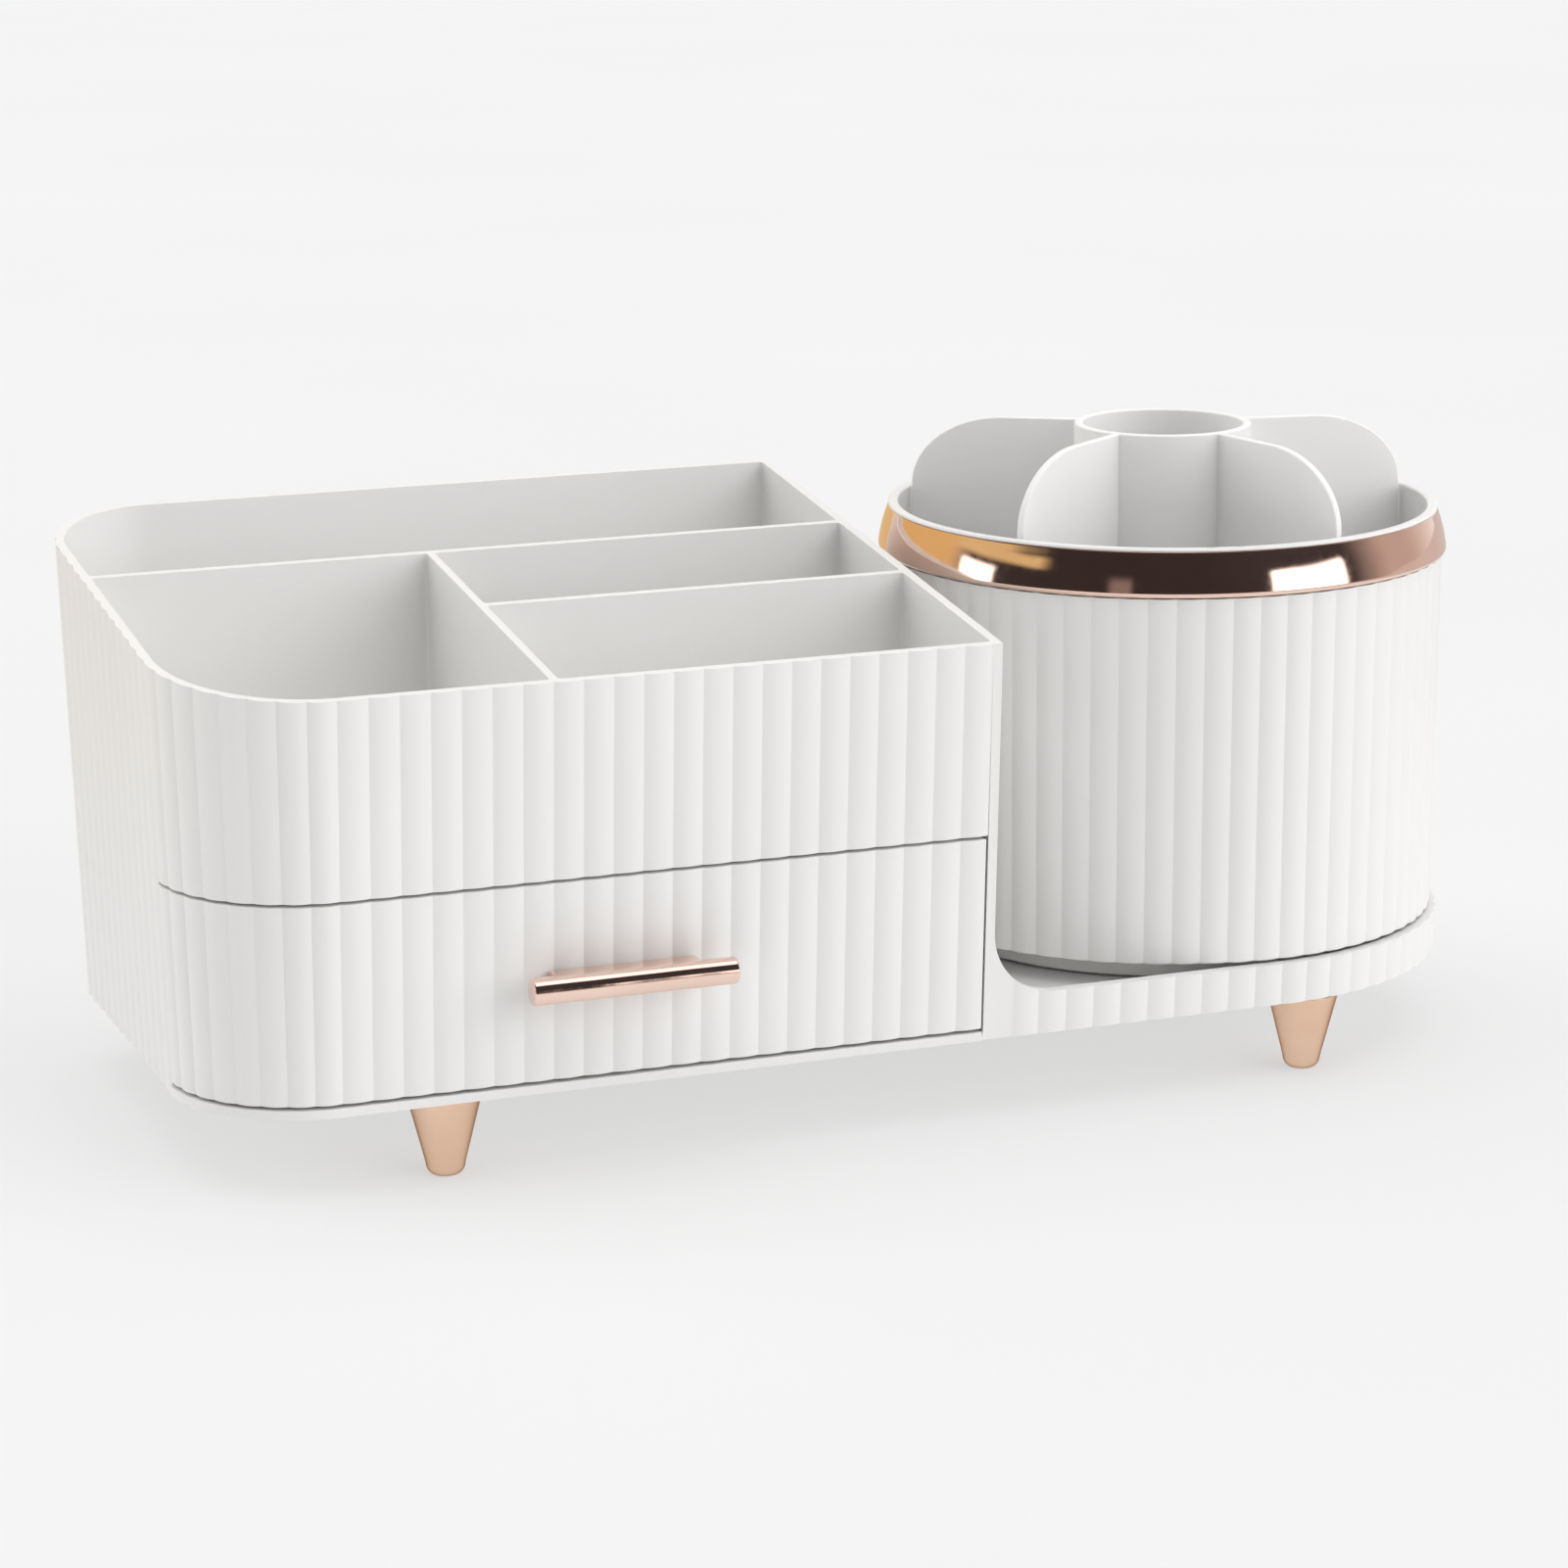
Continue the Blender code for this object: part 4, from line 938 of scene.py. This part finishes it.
def make_turntable(white, nylon, steel):
    low, high = 4.9 * MM, 10.1 * MM
    profile = [(11.5 * MM, high)] + arc((55.4 * MM, high - 0.6 * MM), 0.6 * MM, 90.0, 0.0, 4)
    profile += arc((55.4 * MM, low + 0.6 * MM), 0.6 * MM, 0.0, -90.0, 4)
    profile += [(48.0 * MM, low), (48.0 * MM, 8.6 * MM), (47.6 * MM, 8.8 * MM)]
    profile += [(37.4 * MM, 8.8 * MM), (37.0 * MM, 8.6 * MM), (37.0 * MM, low)]
    profile += [(4.4 * MM, low), (4.4 * MM, 7.4 * MM), (11.5 * MM, 7.4 * MM)]
    disc = turned("turntable_plate", profile, 128)
    for angle in CUP_SCREWS:
        at = on_circle(CUP_SCREW_CIRCLE, angle)
        boolean(disc, rod("pilot", PILOT_HOLE, 5.4 * MM, 20.0 * MM, 24, at), "DIFFERENCE")
    smooth(disc, 35.0)
    stand(disc, "turning_cup", white, "white_plastic", "turntable_disc")

    middle = 6.5 * MM
    cage = turned(
        "bearing_cage",
        arc((46.9 * MM, middle), 0.7 * MM, 90.0, -90.0, 6)
        + arc((38.1 * MM, middle), 0.7 * MM, 270.0, 90.0, 6),
        144,
    )
    ball_places = [on_circle(BALL_CIRCLE, TURN * i / BALLS) for i in range(BALLS)]
    for x, y in ball_places:
        boolean(cage, rod("pocket", 2.4 * MM, 0.0, 20.0 * MM, 32, (x, y)), "DIFFERENCE")
    smooth(cage, 35.0)
    stand(cage, "rolling_cage", nylon, "natural_nylon", "ball_cage")

    ball = turned("ball", arc((0.0, 0.0), 2.0 * MM, 90.0, -90.0, 16), 32, closed=False)
    smooth(ball, 60.0)
    for i, (x, y) in enumerate(ball_places):
        made = copy_of(ball, f"bearing_ball_{i + 1}", (x, y, middle))
        stand(made, "rolling_cage", steel, "zinc_steel", f"ball_{i + 1}")
    bpy.data.objects.remove(ball, do_unlink=True)

    profile = [(1.6 * MM, 8.8 * MM), (8.3 * MM, 8.8 * MM), (8.5 * MM, 8.6 * MM)]
    profile += [(8.5 * MM, 8.2 * MM), (8.3 * MM, 8.0 * MM), (1.6 * MM, 8.0 * MM)]
    washer = turned("washer", profile, 64)
    smooth(washer, 35.0)
    stand(washer, "body", steel, "zinc_steel", "pivot_washer")


# Finishes


def new_finish(name, colour, roughness, metallic):
    """A Principled material with noise to read, and its nodes by name."""
    made = bpy.data.materials.new(name)
    made.use_nodes = True
    nodes, links = made.node_tree.nodes, made.node_tree.links
    shader = nodes["Principled BSDF"]
    shader.inputs["Base Color"].default_value = (*colour, 1.0)
    shader.inputs["Roughness"].default_value = roughness
    shader.inputs["Metallic"].default_value = metallic
    places = nodes.new("ShaderNodeTexCoord")
    return made, nodes, links, shader, places.outputs["Object"]


def noise(nodes, links, places, scale, detail=3.0):
    made = nodes.new("ShaderNodeTexNoise")
    made.inputs["Scale"].default_value = scale
    made.inputs["Detail"].default_value = detail
    links.new(places, made.inputs["Vector"])
    return made.outputs["Fac"]


def between(nodes, links, source, low, high):
    """Maps noise of about 0.3 to 0.7 onto two values."""
    made = nodes.new("ShaderNodeMapRange")
    made.inputs["From Min"].default_value = 0.3
    made.inputs["From Max"].default_value = 0.7
    made.inputs["To Min"].default_value = low
    made.inputs["To Max"].default_value = high
    links.new(source, made.inputs["Value"])
    return made.outputs["Result"]


def shades(nodes, links, source, low, high):
    made = nodes.new("ShaderNodeValToRGB")
    made.color_ramp.elements[0].position = 0.3
    made.color_ramp.elements[1].position = 0.7
    made.color_ramp.elements[0].color = (*low, 1.0)
    made.color_ramp.elements[1].color = (*high, 1.0)
    links.new(source, made.inputs["Fac"])
    return made.outputs["Color"]


def soft_step(nodes, links, source, start, end):
    """Rises smoothly from zero at the start to one at the end."""
    made = nodes.new("ShaderNodeMapRange")
    made.interpolation_type = "SMOOTHSTEP"
    made.inputs["From Min"].default_value = start
    made.inputs["From Max"].default_value = end
    links.new(source, made.inputs["Value"])
    return made.outputs["Result"]


def bumps(nodes, links, source, strength, distance):
    made = nodes.new("ShaderNodeBump")
    made.inputs["Strength"].default_value = strength
    made.inputs["Distance"].default_value = distance
    links.new(source, made.inputs["Height"])
    return made.outputs["Normal"]


def moulded_white(name, low, high):
    """Satin moulded plastic: hardly visible flow marks and a fine spark-eroded grain."""
    made, nodes, links, shader, places = new_finish(name, high, 0.42, 0.0)
    flow = noise(nodes, links, places, 14.0, 2.0)
    grain = noise(nodes, links, places, 2600.0, 2.0)
    links.new(shades(nodes, links, flow, low, high), shader.inputs["Base Color"])
    links.new(between(nodes, links, grain, 0.38, 0.50), shader.inputs["Roughness"])
    links.new(bumps(nodes, links, grain, 0.06, 0.02 * MM), shader.inputs["Normal"])
    shader.inputs["IOR"].default_value = 1.49
    return made


def plated(name, low, high):
    """Polished plating, with the slight waviness of the plastic under it."""
    made, nodes, links, shader, places = new_finish(name, high, 0.07, 1.0)
    waves = noise(nodes, links, places, 55.0, 1.0)
    haze = noise(nodes, links, places, 700.0, 3.0)
    links.new(shades(nodes, links, waves, low, high), shader.inputs["Base Color"])
    links.new(between(nodes, links, haze, 0.05, 0.10), shader.inputs["Roughness"])
    links.new(bumps(nodes, links, waves, 0.35, 0.6 * MM), shader.inputs["Normal"])
    return made


def satin_gold(name, low, high):
    made, nodes, links, shader, places = new_finish(name, high, 0.2, 1.0)
    cloud = noise(nodes, links, places, 60.0, 2.0)
    haze = noise(nodes, links, places, 400.0, 2.0)
    links.new(shades(nodes, links, cloud, low, high), shader.inputs["Base Color"])
    links.new(between(nodes, links, haze, 0.16, 0.23), shader.inputs["Roughness"])
    shader.inputs["Specular Tint"].default_value = (0.42, 0.30, 0.22, 1.0)
    return made


def zinc(name):
    made, nodes, links, shader, places = new_finish(name, (0.62, 0.63, 0.65), 0.3, 1.0)
    cloud = noise(nodes, links, places, 300.0, 4.0)
    tone = shades(nodes, links, cloud, (0.52, 0.53, 0.56), (0.68, 0.69, 0.70))
    links.new(tone, shader.inputs["Base Color"])
    links.new(between(nodes, links, cloud, 0.24, 0.40), shader.inputs["Roughness"])
    return made


def nylon(name):
    made, nodes, links, shader, places = new_finish(name, (0.76, 0.74, 0.69), 0.55, 0.0)
    cloud = noise(nodes, links, places, 120.0, 3.0)
    tone = shades(nodes, links, cloud, (0.72, 0.70, 0.64), (0.79, 0.77, 0.72))
    links.new(tone, shader.inputs["Base Color"])
    links.new(between(nodes, links, cloud, 0.5, 0.62), shader.inputs["Roughness"])
    return made


white = moulded_white("white_plastic", (0.815, 0.809, 0.797), (0.835, 0.829, 0.818))
# The insert's white is paler than the body's: partly its own tone, partly painted light that lifts
# the shade the fins stand in
insert_white_and_painted_light = moulded_white("insert_plastic", (0.885, 0.880, 0.872), (0.905, 0.900, 0.892))
gold = plated("rose_gold_plating", (0.89, 0.66, 0.56), (0.93, 0.71, 0.61))
peach = satin_gold("satin_rose_gold", (0.85, 0.58, 0.42), (0.92, 0.66, 0.50))
steel = zinc("zinc_steel")
cage_nylon = nylon("natural_nylon")

make_body(white)
make_drawer(white)
make_handle(gold)
make_cup_shell(white)
make_ring(gold)
make_insert(insert_white_and_painted_light)
make_feet(peach)
make_screws(steel)
make_turntable(white, cage_nylon, steel)


# Studio


def make_floor():
    obj = plate("studio_floor")
    everything()
    stretch(16.0, 16.0, 1.0)
    move(0.0, 3.0, -0.05 * MM)
    rest()
    made, nodes, links, shader, places = new_finish("light_table", (0.40, 0.40, 0.40), 0.8, 0.0)
    grain = noise(nodes, links, places, 3.0, 2.0)
    tone = shades(nodes, links, grain, (0.375, 0.375, 0.375), (0.385, 0.385, 0.385))
    links.new(tone, shader.inputs["Base Color"])
    shader.inputs["Specular IOR Level"].default_value = 0.0
    shader.inputs["Emission Color"].default_value = (1.0, 1.0, 1.0, 1.0)
    shader.inputs["Emission Strength"].default_value = 0.47

    # Far off, glossy rays see the floor as a dimmer and warmer glow: a painted reflection for the
    # plating to mirror
    distance = nodes.new("ShaderNodeVectorMath")
    distance.operation = "LENGTH"
    links.new(places, distance.inputs[0])
    across = nodes.new("ShaderNodeVectorMath")
    across.operation = "DOT_PRODUCT"
    links.new(places, across.inputs[0])
    across.inputs[1].default_value = (-0.75, 0.66, 0.0)
    farness = soft_step(nodes, links, distance.outputs["Value"], 0.25, 0.6)
    leftness = soft_step(nodes, links, across.outputs["Value"], 0.05, 0.5)
    painted_reflection_tint = nodes.new("ShaderNodeValToRGB")
    painted_reflection_tint.color_ramp.elements[0].color = (0.66, 0.58, 0.55, 1.0)
    painted_reflection_tint.color_ramp.elements[1].color = (0.76, 0.54, 0.27, 1.0)
    links.new(leftness, painted_reflection_tint.inputs["Fac"])
    # Painted reflection: a warm emission that only the plating's reflections see
    painted_reflection_glow = nodes.new("ShaderNodeEmission")
    links.new(painted_reflection_tint.outputs["Color"], painted_reflection_glow.inputs["Color"])
    seen = nodes.new("ShaderNodeLightPath")
    share = nodes.new("ShaderNodeMath")
    share.operation = "MULTIPLY"
    links.new(farness, share.inputs[0])
    links.new(seen.outputs["Is Glossy Ray"], share.inputs[1])
    blend = nodes.new("ShaderNodeMixShader")
    links.new(share.outputs[0], blend.inputs[0])
    links.new(shader.outputs[0], blend.inputs[1])
    links.new(painted_reflection_glow.outputs[0], blend.inputs[2])
    links.new(blend.outputs[0], nodes["Material Output"].inputs["Surface"])
    obj.data.materials.append(made)


def make_camera():
    """The view that a fit to the photograph's edges gives."""
    turn, tilt, roll, distance = 0.3659, 0.2389, -0.006, 1037.88 * MM
    target = Vector((-95.93, 0.0, 45.77)) * MM + ORIGIN
    level = math.cos(tilt)
    ahead = Vector((math.sin(turn) * level, math.cos(turn) * level, -math.sin(tilt)))
    right = Vector((math.cos(turn), -math.sin(turn), 0.0))
    up = right.cross(ahead)
    across = right * math.cos(roll) + up * math.sin(roll)
    upward = up * math.cos(roll) - right * math.sin(roll)
    data = bpy.data.cameras.new("photo_camera")
    data.sensor_width = 36.0
    data.lens = 36.0 * 4565.8 / 1601.0
    data.clip_start = 0.05
    data.clip_end = 60.0
    obj = bpy.data.objects.new("photo_camera", data)
    bpy.context.scene.collection.objects.link(obj)
    stance = Matrix((across, upward, -ahead)).transposed().to_4x4()
    stance.translation = target - ahead * distance
    obj.matrix_world = stance
    bpy.context.scene.camera = obj


def make_studio():
    """A pale room with a soft box on each side, and a darker one for the plating to mirror."""
    world = bpy.data.worlds.new("studio")
    bpy.context.scene.world = world
    world.use_nodes = True
    nodes, links = world.node_tree.nodes, world.node_tree.links
    background = nodes["Background"]

    def maths(operation, a, b=None, c=None):
        made = nodes.new("ShaderNodeMath")
        made.operation = operation
        for socket, value in zip(made.inputs, (a, b, c)):
            if isinstance(value, (int, float)):
                socket.default_value = value
            elif value is not None:
                links.new(value, socket)
        return made.outputs[0]

    places = nodes.new("ShaderNodeTexCoord")
    parts = nodes.new("ShaderNodeSeparateXYZ")
    links.new(places.outputs["Generated"], parts.inputs[0])
    x, y, z = parts.outputs
    height = maths("ARCSINE", z)

    # Angle round the upright axis from the camera's side, right as the camera sees it positive
    facing = math.radians(-115.87)
    side = maths("MULTIPLY_ADD", x, -math.sin(facing), maths("MULTIPLY", y, math.cos(facing)))
    front = maths("MULTIPLY_ADD", x, math.cos(facing), maths("MULTIPLY", y, math.sin(facing)))
    angle = maths("ARCTAN2", side, front)

    def step_up(value, start, end):
        return soft_step(nodes, links, value, math.radians(start), math.radians(end))

    def window(value, low, high, edge):
        up = step_up(value, low - edge, low + edge)
        down = step_up(value, high - edge, high + edge)
        return maths("SUBTRACT", up, down)

    def patch(azimuths, heights, side_edge, top_edge):
        """A soft-edged rectangle on the room's wall, in degrees."""
        across = window(angle, *azimuths, side_edge)
        return maths("MULTIPLY", across, window(height, *heights, top_edge))

    def layer(base, over, mask):
        made = nodes.new("ShaderNodeMix")
        made.data_type = "RGBA"
        links.new(mask, made.inputs["Factor"])
        for socket, value in (("A", base), ("B", over)):
            target = [s for s in made.inputs if s.name == socket and s.type == "RGBA"][0]
            if isinstance(value, tuple):
                target.default_value = (*value, 1.0)
            else:
                links.new(value, target)
        return [s for s in made.outputs if s.type == "RGBA"][0]

    wide = maths("ABSOLUTE", angle)

    # What lights the matt surfaces: a dim room, a big soft box on each side, and a pale ceiling
    room = layer((0.27, 0.27, 0.27), (0.62, 0.62, 0.62), step_up(wide, 100.0, 140.0))
    room = layer(room, (1.62, 1.62, 1.62), step_up(height, 45.0, 60.0))
    right_box = patch((32.0, 112.0), (0.0, 40.0), 5.0, 5.0)
    left_box = patch((-125.0, -65.0), (0.0, 40.0), 5.0, 5.0)
    room = layer(room, (2.32, 2.32, 2.32), right_box)
    room = layer(room, (2.15, 2.15, 2.15), left_box)

    # What the plating mirrors: a room dark in front and pale behind, low white cards on both
    # sides, and the light overhead
    warm = patch((-140.0, -90.0), (-30.0, 40.0), 8.0, 4.0)
    pale = patch((-185.0, -140.0), (-30.0, 40.0), 8.0, 4.0)
    mirror = layer((0.040, 0.032, 0.032), (0.55, 0.44, 0.40), step_up(wide, 80.0, 106.0))
    mirror = layer(mirror, (1.0, 0.98, 0.98), step_up(wide, 114.0, 160.0))
    mirror = layer(mirror, (0.84, 0.68, 0.50), pale)
    mirror = layer(mirror, (0.74, 0.50, 0.21), warm)
    mirror = layer(mirror, (1.5, 1.42, 1.5), step_up(height, 56.0, 62.0))
    mirror = layer(mirror, (1.0, 0.86, 0.62), step_up(height, 74.0, 82.0))
    right_card = patch((45.5, 79.0), (-30.0, 15.5), 1.5, 2.0)
    left_card = patch((-88.0, -70.0), (-30.0, 11.5), 1.5, 2.0)
    left_glow = patch((-96.0, -48.0), (15.5, 23.0), 4.0, 2.0)
    stand_light = patch((-20.0, -12.0), (-30.0, 14.0), 1.5, 4.0)
    mirror = layer(mirror, (0.74, 0.56, 0.28), left_glow)
    mirror = layer(mirror, (0.26, 0.21, 0.20), stand_light)
    mirror = layer(mirror, (2.6, 2.5, 2.45), right_card)
    mirror = layer(mirror, (2.6, 2.5, 2.4), left_card)

    seen = nodes.new("ShaderNodeLightPath")
    room = layer(room, mirror, seen.outputs["Is Glossy Ray"])
    room = layer(room, (1.0, 1.0, 1.0), seen.outputs["Is Camera Ray"])
    links.new(room, background.inputs["Color"])
    background.inputs["Strength"].default_value = 1.0


make_floor()
make_camera()
make_studio()
bpy.context.scene.view_settings.view_transform = "Standard"
